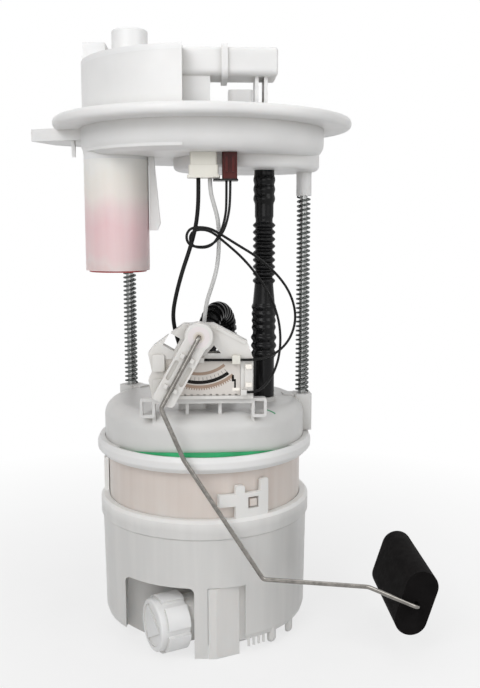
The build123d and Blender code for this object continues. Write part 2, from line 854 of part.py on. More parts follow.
with BuildPart() as filter_element:
    with BuildSketch(Plane.XY.offset(deck_top + filter_gap)):
        Circle(container_bore - filter_inset)
        Circle(filter_bore + bite, mode=Mode.SUBTRACT)
        with PolarLocations(container_bore - filter_inset, pleat_count):
            Rectangle(*pleat, mode=Mode.SUBTRACT)
    extrude(amount=container_top - deck_top - filter_clear)

# Level sender: clipped frame, resistor card, contact clips
card_low = sender_bottom + card_low_gap
card_place = ((card_left + card_right) / 2, card_low + (card_height - card_low_gap) / 2)
card_size = (card_right - card_left, card_height - card_low_gap)
high_wire_z = sender_bottom + high_wire_rise
low_wire_z = sender_bottom + low_wire_rise
front_plane = Plane.XZ.offset(-sender_front)
roof_run = (sender_right - roof_step - hub_x - roof_half, -roof_fall - roof_rise)
roof_length = math.hypot(*roof_run) - 2 * frame_round
roof_slope = math.degrees(math.atan2(roof_run[1], roof_run[0]))
roof_middle = (hub_x + roof_half + roof_run[0] / 2, hub_z + roof_rise + roof_run[1] / 2 - bead_inset)
with BuildPart() as sender_frame:
    with BuildSketch(Plane.XZ.offset(-sender_back)):
        with BuildLine():
            Polyline(
                (sender_left + socket_step, sender_bottom), (sender_left, sender_bottom + socket_low),
                (sender_left + socket_step, sender_bottom + socket_mid),
                (sender_left, sender_bottom + socket_high),
                (sender_left + roof_step, sender_bottom + roof_left), (hub_x - roof_half, hub_z + roof_rise),
                (hub_x + roof_half, hub_z + roof_rise), (sender_right - roof_step, hub_z - roof_fall),
                (sender_right, sender_bottom + card_height), (sender_right, sender_bottom), close=True,
            )
        make_face()
        fillet(vertices(), frame_round)
        with Locations((light_x, hub_z - light_drop)):
            Rectangle(*light_size, rotation=-light_turn, mode=Mode.SUBTRACT)
        with Locations((notch_x, hub_z - notch_drop)):
            Triangle(a=notch_base, b=notch_side, c=notch_side, mode=Mode.SUBTRACT)
    extrude(amount=sender_back - sender_front)
    with BuildSketch(front_plane):
        with Locations(card_place):
            Rectangle(*card_size)
    extrude(amount=-card_thick - card_front_gap, mode=Mode.SUBTRACT)
    # Hub boss with the pin that the lever turns on
    with BuildSketch(front_plane):
        with Locations((hub_x, hub_z)):
            Circle(hub_radius - hub_step)
    extrude(amount=sender_front - lever_back - rest_gap)
    with BuildSketch(front_plane):
        with Locations((hub_x, hub_z)):
            Circle(pin_radius)
    extrude(amount=sender_front - lever_back + pin_length)
    # Pads of the left socket, raised edge round the roof and the posts that hold the lead ends
    with BuildSketch(front_plane):
        with Locations((sender_left + pad_inset, sender_bottom + socket_low / 2 + frame_round),
                       (sender_left + pad_inset, sender_bottom + (socket_mid + socket_high) / 2)):
            RectangleRounded(*pad_size, frame_round)
    extrude(amount=pad_thick)
    with BuildSketch(front_plane):
        with Locations(Location(roof_middle, roof_slope)):
            Rectangle(roof_length, 2 * bead_half)
        with Locations((sender_right - column_half, sender_bottom + card_height / 2)):
            Rectangle(column_width, card_height - 2 * column_half)
    extrude(amount=bead_thick)
    with BuildSketch(front_plane):
        with Locations((-wire_post[0] / 2, high_wire_z), (card_right + wire_post[0] / 2, low_wire_z)):
            Rectangle(*wire_post)
    extrude(amount=wire_post_reach)

with BuildPart() as resistor_card:
    with BuildSketch(front_plane.offset(-card_front_gap)):
        with Locations(card_place):
            Rectangle(card_size[0] - slip, card_size[1] - slip)
        with Locations(*[(card_left + card_slot_step * (i + 1), card_low) for i in range(card_slot_count)]):
            Rectangle(*card_slot, mode=Mode.SUBTRACT)
    extrude(amount=-card_thick)

with BuildPart() as sender_contacts:
    with BuildSketch(front_plane.offset(bead_thick)):
        with Locations((contact_x, high_wire_z - contact_drop), (contact_x, low_wire_z + contact_drop)):
            Rectangle(*contact_size)
    extrude(amount=contact_thick)

# Lever, wiper and bent wire arm
lever_plane = Plane.XZ.offset(-lever_back)
lever_arm_plane = lever_plane.offset(lever_step)
lever_face = lever_front + arm_radius - lever_groove
lever_frame = Location((hub_x, hub_z), lever_angle)
with BuildPart() as arm_holder:
    with BuildSketch(lever_plane):
        with Locations((hub_x, hub_z)):
            Circle(hub_radius)
    extrude(amount=lever_back - lever_face)
    fillet(arm_holder.edges().sort_by(Axis.Y)[0], hub_round)
    with BuildSketch(lever_arm_plane):
        with Locations(lever_frame):
            with Locations((lever_length / 2, 0)):
                RectangleRounded(lever_length, lever_width, lever_round)
    extrude(amount=lever_back - lever_step - lever_face)
    # Pairs of hooks beside the wire, and shallow pockets along the lever
    with BuildSketch(Plane.XZ.offset(-lever_face)):
        with Locations(lever_frame):
            with Locations(*[(x, side * hook_side) for x in lever_hooks for side in (-1, 1)]):
                Rectangle(*lever_hook)
    extrude(amount=hook_rise)
    with BuildSketch(Plane.XZ.offset(-lever_face)):
        with Locations(lever_frame):
            with Locations(*[(sum(lever_hooks) / 2, side * lever_pocket_side) for side in (-1, 1)]):
                RectangleRounded(*lever_pocket, lever_pocket_round)
    extrude(amount=-lever_pocket_deep, mode=Mode.SUBTRACT)
    with BuildSketch(lever_plane):
        with Locations((hub_x, hub_z)):
            Circle(pin_radius + running)
    extrude(amount=pin_length + rest_gap, mode=Mode.SUBTRACT)
    with BuildSketch(lever_plane):
        with Locations((hub_x, hub_z)):
            Circle(arm_radius)
    extrude(amount=lever_back - lever_front + bite, mode=Mode.SUBTRACT)

with BuildPart() as wiper:
    with BuildSketch(lever_arm_plane):
        with Locations(lever_frame):
            with Locations((wiper_place, 0)):
                Rectangle(*wiper_size)
    extrude(amount=lever_back - sender_front - lever_step + rest_gap)

float_far = float_near + float_length
arm_points = [
    (hub_x, lever_front + arm_grip, hub_z),
    (hub_x, arm_plane, hub_z),
    *[(hub_x + x, arm_plane, hub_z + z) for x, z in arm_knees],
    *[(x, arm_plane, z) for x, z in arm_elbows],
    (float_x, arm_plane, float_z),
    (float_x, float_far + arm_past_float, float_z),
]
with BuildPart() as arm_wire:
    with BuildLine() as arm_route:
        FilletPolyline(*arm_points, radius=list(arm_bend_radii))
    with BuildSketch(Plane(origin=arm_route.line @ 0, z_dir=arm_route.line % 0)):
        Circle(arm_radius)
    sweep()

# Float block on the end of the arm, and the push nut that keeps it there
with BuildPart() as float_block:
    with BuildSketch(Plane.XZ.offset(-float_near)):
        with Locations((float_x, float_z)):
            SlotOverall(float_width, float_thick, rotation=90 - float_lean)
            Circle(arm_radius + running, mode=Mode.SUBTRACT)
    extrude(amount=-float_length)

with BuildPart() as float_nut:
    with BuildSketch(Plane.XZ.offset(-float_far - rest_gap)):
        with Locations((float_x, float_z)):
            Circle(nut_radius)
            Circle(arm_radius, mode=Mode.SUBTRACT)
    extrude(amount=-nut_thick)

# Flange: dished cover with a rounded brim, rod sleeves, vapour chamber and connector
connector_low = chamber_top - connector_drop
connector_tall = connector_drop + connector_rise
connector_deep = connector_y[1] - connector_y[0]
connector_mid = (sum(connector_y) / 2, connector_low + connector_tall / 2)
cavity_x = connector_end_x - connector_cavity
with BuildPart() as connector:
    with BuildSketch(Plane.YZ.offset(chamber_end_x)):
        with Locations(connector_mid):
            RectangleRounded(connector_deep, connector_tall, connector_round)
    extrude(amount=connector_end_x - chamber_end_x)
    fillet(connector.faces().sort_by(Axis.X)[-1].edges(), connector_mouth_round)
    with BuildSketch(Plane.YZ.offset(chamber_end_x + collar_x)):
        with Locations(connector_mid):
            RectangleRounded(connector_deep + 2 * collar_proud, connector_tall + 2 * collar_proud,
                             connector_round + collar_proud)
    extrude(amount=collar_thick)
    with BuildSketch(Plane.YZ.offset(cavity_x)):
        with Locations(connector_mid):
            RectangleRounded(connector_deep - 2 * connector_wall, connector_tall - 2 * connector_wall,
                             connector_round - connector_wall)
    extrude(amount=connector_end_x, mode=Mode.SUBTRACT)

with BuildPart() as chamber_plan:
    with BuildSketch():
        Circle(chamber_radius)
        with Locations((chamber_end_x, chamber_back_y)):
            Rectangle(2 * chamber_radius, 3 * chamber_radius, align=(Align.MAX, Align.MAX),
                      mode=Mode.INTERSECT)
    extrude(amount=bite)
chamber_outline = chamber_plan.faces().sort_by(Axis.Z)[0]

bowl_bore = bowl_radius - bowl_wall
vent_right = vent_x + vent_radius
nipple_z = chamber_top - nipple_drop
with BuildPart() as flange_cover:
    with BuildSketch(Plane.XZ):
        with BuildLine():
            Polyline(
                (0, bowl_bottom), (bowl_radius, bowl_bottom), (bowl_radius, brim_bottom),
                (brim_radius, brim_bottom), (brim_radius, brim_top), (bowl_bore, brim_top),
                (bowl_bore, bowl_bottom + bowl_wall), (0, bowl_bottom + bowl_wall), close=True,
            )
        make_face()
        fillet(vertices().filter_by(lambda v: v.X > bowl_radius - slip and v.Y < bowl_bottom + slip),
               bowl_round)
        fillet(vertices().filter_by(lambda v: v.X > brim_radius - slip), brim_thick / 2 - slip)
        fillet(vertices().filter_by(lambda v: abs(v.X - bowl_bore) < slip and v.Y < brim_bottom),
               bowl_round - bowl_wall)
    revolve(axis=Axis.Z)
    # Round well that drops below the bowl and carries the hose spigot and the right sleeve
    add(columns([(well_x, 0)], well_radius, well_bottom, sleeve_base))
    fillet(flange_cover.faces().sort_by(Axis.Z)[0].edges(), well_round)
    add(columns([(well_x, 0)], well_radius - bowl_wall, well_bottom + bowl_wall, brim_top),
        mode=Mode.SUBTRACT)
    add(columns([hose_place], hose_bore - running, well_bottom - hose_overlap, well_bottom + bite))
    add(columns(rod_points, sleeve_radius, sleeve_bottom, sleeve_base))
    add(columns(rod_points, rod_radius, sleeve_bottom, sleeve_base - sleeve_cap), mode=Mode.SUBTRACT)
    # Vapour chamber wall, open at the top for its cover
    with BuildSketch(Plane.XY.offset(sleeve_base - bite)):
        add(chamber_outline)
    extrude(amount=chamber_top - sleeve_base + bite)
    with BuildSketch(Plane.XY.offset(sleeve_base)):
        add(chamber_outline)
        offset(amount=-chamber_wall, mode=Mode.REPLACE)
    extrude(amount=chamber_top, mode=Mode.SUBTRACT)
    # Connector, the pier under its root and its two-rib leg
    add(connector.part)
    with BuildSketch(Plane.XY.offset(bowl_bottom + bite)):
        with Locations((chamber_end_x + pier_width / 2, connector_mid[0])):
            Rectangle(pier_width, connector_deep - pier_inset)
        with Locations(*[(x, connector_mid[0]) for x in leg_rib_places]):
            Rectangle(leg_rib, connector_deep - leg_rib_inset)
    extrude(amount=connector_low - bowl_bottom)
    # Outlet nipple with its bead, on a tower behind the connector
    add(block((nipple_x, nipple_y), tower_size, well_bottom + bite, nipple_z + nipple_radius + tower_cover,
              tower_round))
    nipple_plane = Plane(origin=(nipple_x, nipple_y, nipple_z), x_dir=(1, 0, 0), z_dir=(0, 1, 0))
    with BuildSketch(nipple_plane):
        Circle(nipple_radius)
    extrude(amount=nipple_length)
    chamfer(flange_cover.edges().filter_by(GeomType.CIRCLE).sort_by(Axis.Y)[-1], nipple_tip)
    with BuildSketch(nipple_plane.offset(nipple_bead_place)):
        Circle(nipple_radius + nipple_bead)
    extrude(amount=nipple_bead_thick)
    with BuildSketch(nipple_plane.offset(nipple_passage)):
        Circle(nipple_radius - nipple_wall)
    extrude(amount=nipple_length, mode=Mode.SUBTRACT)
    # Collar of the vent valve, its latch finger, and the pointed tab and fin of the brim
    add(columns([vent_place], vent_radius, vent_top, bowl_bottom + bowl_round))
    with BuildSketch(Plane.XZ.offset(-vent_y)):
        with BuildLine():
            Polyline(
                (vent_right + finger_gap, bowl_bottom + bite), (vent_right + finger_root, bowl_bottom + bite),
                (vent_right + finger_tip, bowl_bottom - finger_drop + finger_corner),
                (vent_right + finger_tip - finger_tip_corner, bowl_bottom - finger_drop),
                (vent_right + finger_gap, bowl_bottom - finger_drop), close=True,
            )
        make_face()
    extrude(amount=finger_half, both=True)
    with BuildSketch(Plane.XY.offset(brim_bottom - tab_drop)):
        with BuildLine():
            Polyline(*tab_outline, close=True)
        make_face()
    extrude(amount=tab_drop + bite)
    with BuildSketch(Plane.YZ.offset(fin_x)):
        with BuildLine():
            Polyline(
                (-fin_half, brim_bottom + bite), (fin_half, brim_bottom + bite),
                (fin_tip_half, brim_bottom - fin_drop), (-fin_tip_half, brim_bottom - fin_drop), close=True,
            )
        make_face()
    extrude(amount=fin_thick)

with BuildPart() as chamber_cover:
    with BuildSketch(Plane.XY.offset(chamber_top)):
        add(chamber_outline)
    extrude(amount=cover_thick)
    # Raised block at the left, valve boss and the low rib beside it
    with BuildSketch(Plane.XY.offset(chamber_top)):
        Circle(chamber_radius - rest_gap)
        with Locations((cover_block[0] - chamber_radius, cover_block_back)):
            Rectangle(chamber_radius, cover_block[1], align=(Align.MAX, Align.MAX), mode=Mode.INTERSECT)
    extrude(amount=cover_block_rise, taper=cover_block_taper)
    add(columns([valve_boss], valve_boss_radius, chamber_top, chamber_top + valve_boss_rise))
    fillet(chamber_cover.edges().sort_by(Axis.Z)[-1], valve_boss_round)
    boss_top = chamber_top + valve_boss_rise
    add(columns([valve_boss], valve_boss_bore, boss_top - valve_boss_deep, boss_top), mode=Mode.SUBTRACT)
    with BuildSketch(Plane.XY.offset(chamber_top)):
        with Locations(cover_rib_place):
            Rectangle(*cover_rib)
    extrude(amount=cover_rib_rise)

blade_step = (connector_deep - 2 * connector_wall) / blade_count
with BuildPart() as terminal_blades:
    with BuildSketch(Plane.YZ.offset(cavity_x)):
        with Locations((connector_mid[0], connector_low + connector_wall + blade_lift)):
            with GridLocations(blade_step, 1, blade_count, 1):
                Rectangle(*blade_size)
    extrude(amount=blade_length)

# Guide rods, their end clips and the springs
rod_top = sleeve_base - sleeve_cap
spring_foot = post_top + slip
with BuildPart() as guide_rod_right:
    add(columns(rod_points[:1], rod_radius, rod_end, rod_top))
with BuildPart() as guide_rod_left:
    add(columns(rod_points[1:], rod_radius, rod_end, rod_top))

with BuildPart() as rod_clips:
    for point in rod_points:
        add(sleeve(point, clip_radius, rod_radius, bore_floor - rest_gap - clip_plate, bore_floor - rest_gap))

with BuildPart() as spring_right:
    add(sleeve(rod_points[0], spring_radius, spring_radius - spring_wire, spring_foot, sleeve_bottom))
with BuildPart() as spring_left:
    add(sleeve(rod_points[1], spring_radius, spring_radius - spring_wire, spring_foot, sleeve_bottom))

# Roll-over vent valve: translucent cup, red base and the float that rises to shut it
vent_bore = vent_radius - vent_wall
vent_float_foot = vent_bottom - vent_base_proud + vent_base_thick + rest_gap
with BuildPart() as vent_housing:
    add(columns([vent_place], vent_radius, vent_bottom, vent_top))
    add(columns([vent_place], vent_bore, vent_bottom, vent_top - vent_roof), mode=Mode.SUBTRACT)

with BuildPart() as vent_base:
    add(sleeve(vent_place, vent_bore - slip, vent_drain, vent_bottom - vent_base_proud,
               vent_bottom - vent_base_proud + vent_base_thick))

with BuildPart() as vent_float:
    add(columns([vent_place], vent_float_radius, vent_float_foot, vent_float_foot + vent_float_height))
    with BuildSketch(Plane.XY.offset(vent_float_foot + vent_float_height)):
        with Locations(vent_place):
            Circle(vent_needle_radius)
    extrude(amount=vent_needle, taper=vent_needle_taper)

# Supply hose: smooth cuffs with corrugated stretches, thicker below
hose_low = hose_foot + rest_gap
hose_high = well_bottom
hose_length = hose_high - hose_low


def corrugations(radius, rib, start, stop):
    """Half outline of a corrugated stretch between two shares of the hose's length."""
    count = int((stop - start) * hose_length / hose_pitch)
    outline = []
    for i in range(count):
        z = hose_low + start * hose_length + i * hose_pitch
        outline += [(radius, z), (radius + rib, z + rib_rise * hose_pitch),
                    (radius + rib, z + rib_fall * hose_pitch), (radius, z + rib_end * hose_pitch)]
    return outline


with BuildPart() as supply_hose:
    with BuildSketch(Plane.XZ):
        with BuildLine():
            Polyline(
                (hose_bore, hose_low), (hose_low_radius, hose_low),
                *corrugations(hose_low_radius, hose_low_rib, *hose_low_band),
                (hose_low_radius, hose_low + hose_step[0] * hose_length),
                (hose_radius, hose_low + hose_step[1] * hose_length),
                *corrugations(hose_radius, hose_rib, *hose_middle_band),
                *corrugations(hose_radius, hose_rib, *hose_high_band),
                (hose_radius, hose_high), (hose_bore, hose_high), close=True,
            )
        make_face()
    revolve(axis=Axis.Z)
supply_hose.part = supply_hose.part.moved(Location((*hose_place, 0)))

# Transfer hose: a ribbed hose bent over in a U behind the sender
(foot_ax, foot_ay), (foot_bx, foot_by) = transfer_feet
transfer_top = lid_top + transfer_rise
transfer_bend = math.dist(*transfer_feet) / 2 * transfer_share
with BuildPart() as transfer_hose:
    with BuildLine() as transfer_route:
        FilletPolyline((foot_ax, foot_ay, hose_foot), (foot_ax, foot_ay, transfer_top),
                       (foot_bx, foot_by, transfer_top), (foot_bx, foot_by, hose_foot), radius=transfer_bend)
    with BuildSketch(Plane(origin=transfer_route.line @ 0, z_dir=transfer_route.line % 0)):
        Circle(transfer_radius)
    sweep()
    for i in range(transfer_rib_count):
        place = transfer_first_rib + (1 - 2 * transfer_first_rib) * i / (transfer_rib_count - 1)
        with BuildSketch(Plane(origin=transfer_route.line @ place, z_dir=transfer_route.line % place)):
            Circle(transfer_radius + transfer_rib)
        extrude(amount=transfer_rib_half, both=True)

# Plugs under the flange: ivory pump plug, brown sender plug and the black plate under it
with BuildPart() as pump_plug:
    add(block(plug_place, plug_size, plug_bottom, plug_bottom + plug_step_rise, plug_round))
    add(block(plug_place, (plug_size[0] - plug_step, plug_size[1] - plug_step), plug_bottom, bowl_bottom,
              plug_round))
    add(block(plug_place, (plug_size[0] + plug_lip_proud, plug_size[1]), plug_bottom, plug_bottom + plug_lip,
              plug_round))
with BuildPart() as sender_plug:
    add(block(signal_plug_place, signal_plug_size, signal_plug_bottom, bowl_bottom, plug_round))
    with BuildSketch(Plane.XZ.offset(-signal_plug_place[1] + signal_plug_size[1] / 2)):
        with Locations(*[(signal_plug_place[0] + side * signal_rib_half_step, plug_bottom + signal_rib_rise)
                         for side in (-1, 1)]):
            Rectangle(*signal_rib)
    extrude(amount=signal_rib_thick)
with BuildPart() as plug_plate:
    add(block((plate_x, signal_plug_place[1]), plate_size, signal_plug_bottom - plate_thick,
              signal_plug_bottom, plug_round))
    add(columns(signal_starts, signal_radius + running, signal_plug_bottom - plate_thick, signal_plug_bottom),
        mode=Mode.SUBTRACT)

# Leads: each route is a list of points in plan with the share of the height left above its lower end
black_route = (
    (-2.2, -45, 1), (-2.2, -45, 0.9347), (-2.5, -43.5, 0.8647), (-3.6, -42.5, 0.7841), (-6.4, -42, 0.6881),
    (-10.1, -41.5, 0.5873), (-13.2, -40.5, 0.4789), (-14.8, -39, 0.3944), (-14.1, -37, 0.3234),
    (-12.2, -35, 0.2562), (-10.3, -33, 0.1795), (-8.8, -31.6, 0.09309), (-8.2, -31, 0),
)
grey_route = (
    (3.1, -45, 1), (3.1, -45, 0.9472), (4.9, -44, 0.8848), (6.9, -43, 0.8167), (7.3, -42.4, 0.7159),
    (6.5, -41.6, 0.6123), (4.2, -40, 0.5298), (1.2, -37.5, 0.4463), (0.1, -35.5, 0.3522),
    (-1.2, -33.5, 0.2562), (-2.8, -32, 0.1651), (-3.6, -31.2, 0.07869), (-3.8, -31, 0),
)
signal_a_route = (
    (12.4, -46.3, 1), (12.4, -46.3, 0.8989), (11.6, -48, 0.8039), (9, -49.6, 0.7052), (3.2, -50.4, 0.6318),
    (-5.1, -50.9, 0.6306), (-7.7, -51, 0.6623), (-7.7, -51.1, 0.7071), (-5.1, -51.3, 0.7389),
    (2.4, -51.8, 0.7365), (7.8, -52, 0.7004), (15.3, -51, 0.6438), (24.3, -48, 0.5788),
    (33.1, -43.5, 0.491), (39.4, -40, 0.3995), (43.2, -37, 0.2996), (44.2, -36, 0.201), (41.8, -37, 0.1059),
    (37.2, -40, 0.04332), (31.8, -44.5, 0.01203), (27, -48.6, 0.002407), (22, -50.5, 0), (15, -50.2, 0),
    (0, -50.2, 0),
)
signal_b_route = (
    (10.7, -44, 1), (10.7, -44, 0.9147), (10.4, -45, 0.8365), (8, -45.5, 0.7513), (3.4, -45.8, 0.6853),
    (-3.7, -46, 0.6832), (-6.2, -46, 0.7082), (-6.2, -46.1, 0.7436), (-3.7, -46.3, 0.7685),
    (3, -47.2, 0.7655), (9.4, -47.6, 0.7127), (17.8, -46, 0.6396), (25, -43, 0.5543), (31.6, -40, 0.4508),
    (35.6, -38, 0.3452), (36.9, -37, 0.2457), (36.2, -38, 0.1584), (33.8, -41, 0.08731),
    (30, -45.5, 0.03452), (26.2, -49.2, 0.008122), (22.9, -50.4, 0), (19.8, -50.4, 0),
)


def bend_radii(points):
    """Largest arc that the two runs at each corner of a lead allow."""
    radii = []
    for before, corner, after in zip(points, points[1:], points[2:]):
        run_in = Vector(*corner) - Vector(*before)
        run_out = Vector(*after) - Vector(*corner)
        half_turn = math.radians(run_in.get_angle(run_out)) / 2
        radii.append(arc_share * min(run_in.length, run_out.length) / math.tan(half_turn))
    return radii


def lead(route, high, low, radius):
    """Round lead along straight runs joined by tangent arcs, between two heights."""
    points = [(x, y, low + share * (high - low)) for x, y, share in route]
    radii = bend_radii(points)
    with BuildPart() as made:
        with BuildLine() as line:
            FilletPolyline(*points, radius=radii)
        with BuildSketch(Plane(origin=line.line @ 0, z_dir=line.line % 0)):
            Circle(radius)
        sweep()
    length = sum(edge.length for edge in line.edges())
    filled = made.part.volume / (math.pi * radius ** 2 * length)
    print(f"lead length {length:.1f}, tightest bend {min(radii):.1f}, volume ratio {filled:.4f}")
    return made


pump_lead_black = lead(black_route, plug_bottom, gland_top + rest_gap, lead_radius)
pump_lead_grey = lead(grey_route, plug_bottom, gland_top + rest_gap, lead_radius)
sender_lead_a = lead(signal_a_route, signal_plug_bottom, high_wire_z, signal_radius)
sender_lead_b = lead(signal_b_route, signal_plug_bottom, low_wire_z, signal_radius)

pieces = {
    "bucket": bucket,
    "container": container,
    "regulator_cap": regulator_cap,
    "regulator": regulator,
    "locking_ring": locking_ring,
    "lid_seal": lid_seal,
    "lid": lid,
    "pump_can": pump_can,
    "pump_inlet_cap": pump_inlet_cap,
    "pump_outlet_cap": pump_outlet_cap,
    "magnets": magnets,
    "armature": armature,
    "impeller": impeller,
    "pump_cradle": pump_cradle,
    "strainer": strainer,
    "filter_element": filter_element,
    "sender_frame": sender_frame,
    "resistor_card": resistor_card,
    "sender_contacts": sender_contacts,
    "arm_holder": arm_holder,
    "wiper": wiper,
    "arm_wire": arm_wire,
    "float_block": float_block,
    "float_nut": float_nut,
    "flange_cover": flange_cover,
    "chamber_cover": chamber_cover,
    "terminal_blades": terminal_blades,
    "guide_rod_right": guide_rod_right,
    "guide_rod_left": guide_rod_left,
    "rod_clips": rod_clips,
    "spring_right": spring_right,
    "spring_left": spring_left,
    "vent_housing": vent_housing,
    "vent_base": vent_base,
    "vent_float": vent_float,
    "supply_hose": supply_hose,
    "transfer_hose": transfer_hose,
    "pump_plug": pump_plug,
    "sender_plug": sender_plug,
    "plug_plate": plug_plate,
    "pump_lead_black": pump_lead_black,
    "pump_lead_grey": pump_lead_grey,
    "sender_lead_a": sender_lead_a,
    "sender_lead_b": sender_lead_b,
}
for piece_name, piece in pieces.items():
    piece.part.label = piece_name
    export_step(piece.part, f"parts/{piece_name}.step")
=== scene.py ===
import json
import math

import bpy
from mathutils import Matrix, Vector


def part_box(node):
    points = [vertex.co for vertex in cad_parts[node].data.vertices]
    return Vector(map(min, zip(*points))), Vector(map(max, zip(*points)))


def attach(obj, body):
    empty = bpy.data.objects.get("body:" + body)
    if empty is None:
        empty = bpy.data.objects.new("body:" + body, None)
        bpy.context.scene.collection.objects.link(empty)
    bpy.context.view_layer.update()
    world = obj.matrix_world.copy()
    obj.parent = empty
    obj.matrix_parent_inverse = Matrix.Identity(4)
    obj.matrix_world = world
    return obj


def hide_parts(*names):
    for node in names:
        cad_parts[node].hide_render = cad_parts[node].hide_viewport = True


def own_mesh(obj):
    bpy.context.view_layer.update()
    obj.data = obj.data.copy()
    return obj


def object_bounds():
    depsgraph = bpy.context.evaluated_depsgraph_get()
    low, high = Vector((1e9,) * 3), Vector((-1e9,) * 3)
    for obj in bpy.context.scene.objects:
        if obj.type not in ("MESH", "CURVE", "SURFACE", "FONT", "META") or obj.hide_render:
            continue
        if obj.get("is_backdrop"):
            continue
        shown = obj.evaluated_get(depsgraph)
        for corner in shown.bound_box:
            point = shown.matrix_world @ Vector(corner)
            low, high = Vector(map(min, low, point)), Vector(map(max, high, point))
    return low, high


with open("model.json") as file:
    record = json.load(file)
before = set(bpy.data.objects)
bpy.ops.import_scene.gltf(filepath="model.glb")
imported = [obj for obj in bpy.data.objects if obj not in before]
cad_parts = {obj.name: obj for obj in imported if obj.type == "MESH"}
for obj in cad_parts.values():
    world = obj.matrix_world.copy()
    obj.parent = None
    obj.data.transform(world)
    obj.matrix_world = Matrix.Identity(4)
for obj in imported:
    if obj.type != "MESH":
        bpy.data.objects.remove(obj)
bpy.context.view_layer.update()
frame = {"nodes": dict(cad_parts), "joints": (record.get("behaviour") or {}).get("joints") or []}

nodes = frame["nodes"]
joints = {joint["name"]: joint for joint in frame["joints"]}
pivot_x, _, pivot_z = joints["arm_swing"]["pos_m"]


# Material building blocks

def new_material(name):
    """A node material with its tree, its main shader and the texture coordinates."""
    made = bpy.data.materials.new(name)
    made.use_nodes = True
    tree = made.node_tree
    shader = tree.nodes["Principled BSDF"]
    coords = tree.nodes.new("ShaderNodeTexCoord")
    return made, tree, shader, coords.outputs["Object"]


def feed(tree, socket, value):
    """Gives an input its value: an output to follow, a number, a vector or a colour of three numbers."""
    if isinstance(value, bpy.types.NodeSocket):
        tree.links.new(value, socket)
    elif socket.type == "RGBA":
        socket.default_value = (*value, 1)
    else:
        socket.default_value = value


def number_step(tree, operation, first, second):
    """One sum on two numbers."""
    node = tree.nodes.new("ShaderNodeMath")
    node.operation = operation
    feed(tree, node.inputs[0], first)
    feed(tree, node.inputs[1], second)
    return node.outputs[0]


def vector_step(tree, operation, first, second, result="Vector"):
    """One sum on two vectors. The result is a Vector or a Value."""
    node = tree.nodes.new("ShaderNodeVectorMath")
    node.operation = operation
    feed(tree, node.inputs[0], first)
    feed(tree, node.inputs[1], second)
    return node.outputs[result]


def noise(tree, place, scale, detail=4.0, stretch=(1, 1, 1)):
    """Noise value at a number of cells per metre, stretched along the axes."""
    mapping = tree.nodes.new("ShaderNodeMapping")
    mapping.inputs["Scale"].default_value = stretch
    tree.links.new(place, mapping.inputs["Vector"])
    cells = tree.nodes.new("ShaderNodeTexNoise")
    cells.inputs["Scale"].default_value = scale
    cells.inputs["Detail"].default_value = detail
    tree.links.new(mapping.outputs["Vector"], cells.inputs["Vector"])
    return cells.outputs["Fac"]


def spread(tree, value, low, high, start=0.3, stop=0.7):
    """Maps a value between start and stop, which suit noise, onto low to high."""
    node = tree.nodes.new("ShaderNodeMapRange")
    node.inputs["From Min"].default_value = start
    node.inputs["From Max"].default_value = stop
    node.inputs["To Min"].default_value = low
    node.inputs["To Max"].default_value = high
    tree.links.new(value, node.inputs["Value"])
    return node.outputs["Result"]


def ramp(tree, value, stops):
    """Colour ramp through (place, colour) stops."""
    node = tree.nodes.new("ShaderNodeValToRGB")
    elements = node.color_ramp.elements
    while len(elements) < len(stops):
        elements.new(0.5)
    for element, (place, colour) in zip(elements, stops):
        element.position = place
        element.color = (*colour, 1)
    tree.links.new(value, node.inputs["Fac"])
    return node.outputs["Color"]


def blend_colours(tree, factor, first, second, mode="MIX"):
    """Mixes two colours, each an output or three numbers, by a factor."""
    node = tree.nodes.new("ShaderNodeMix")
    node.data_type = "RGBA"
    node.blend_type = mode
    feed(tree, node.inputs[0], factor)
    feed(tree, node.inputs[6], first)
    feed(tree, node.inputs[7], second)
    return node.outputs[2]


def mottle(tree, value, first, second):
    """Runs from one colour to another by a noise value."""
    return blend_colours(tree, spread(tree, value, 0, 1), first, second)


def bump(tree, shader, height, strength, distance):
    """Raises the surface by a height value."""
    node = tree.nodes.new("ShaderNodeBump")
    node.inputs["Strength"].default_value = strength
    node.inputs["Distance"].default_value = distance
    tree.links.new(height, node.inputs["Height"])
    tree.links.new(node.outputs["Normal"], shader.inputs["Normal"])


def crevices(tree, reach, samples=8):
    """Shade in corners and recesses, 0 in a deep one and 1 in the open."""
    node = tree.nodes.new("ShaderNodeAmbientOcclusion")
    node.inputs["Distance"].default_value = reach
    node.samples = samples
    return node.outputs["AO"]


def carry_light(shader, depth, reach):
    """Lets a share of the light travel inside, with a reach for red, green and blue in metres."""
    shader.inputs["Subsurface Weight"].default_value = depth
    shader.inputs["Subsurface Radius"].default_value = reach
    shader.inputs["Subsurface Scale"].default_value = 1.0


def moulded(name, light, dark, roughness=(0.34, 0.5), depth=0.0, corner_shade_tint=(0.80, 0.79, 0.77), grain=0.12,
            specular=0.5):
    """Moulded plastic: cloudy colour, painted shade in corners and recesses, fine grain and a little light
    carried inside.
    """
    made, tree, shader, place = new_material(name)
    colour = mottle(tree, noise(tree, place, scale=42, detail=5), dark, light)
    # Painted shade: the colour is multiplied by the corner shade tint where ambient occlusion finds corners
    # and recesses
    corner = spread(tree, crevices(tree, reach=0.006), 0, 1, start=0.35, stop=0.95)
    shaded = blend_colours(tree, corner, blend_colours(tree, 1.0, colour, corner_shade_tint, "MULTIPLY"), colour)
    polish = spread(tree, noise(tree, place, scale=260, detail=3), *roughness)
    tree.links.new(shaded, shader.inputs["Base Color"])
    tree.links.new(polish, shader.inputs["Roughness"])
    bump(tree, shader, noise(tree, place, scale=2600, detail=2), strength=grain, distance=0.00006)
    carry_light(shader, depth, reach=(0.004, 0.0034, 0.003))
    shader.inputs["Specular IOR Level"].default_value = specular
    return made


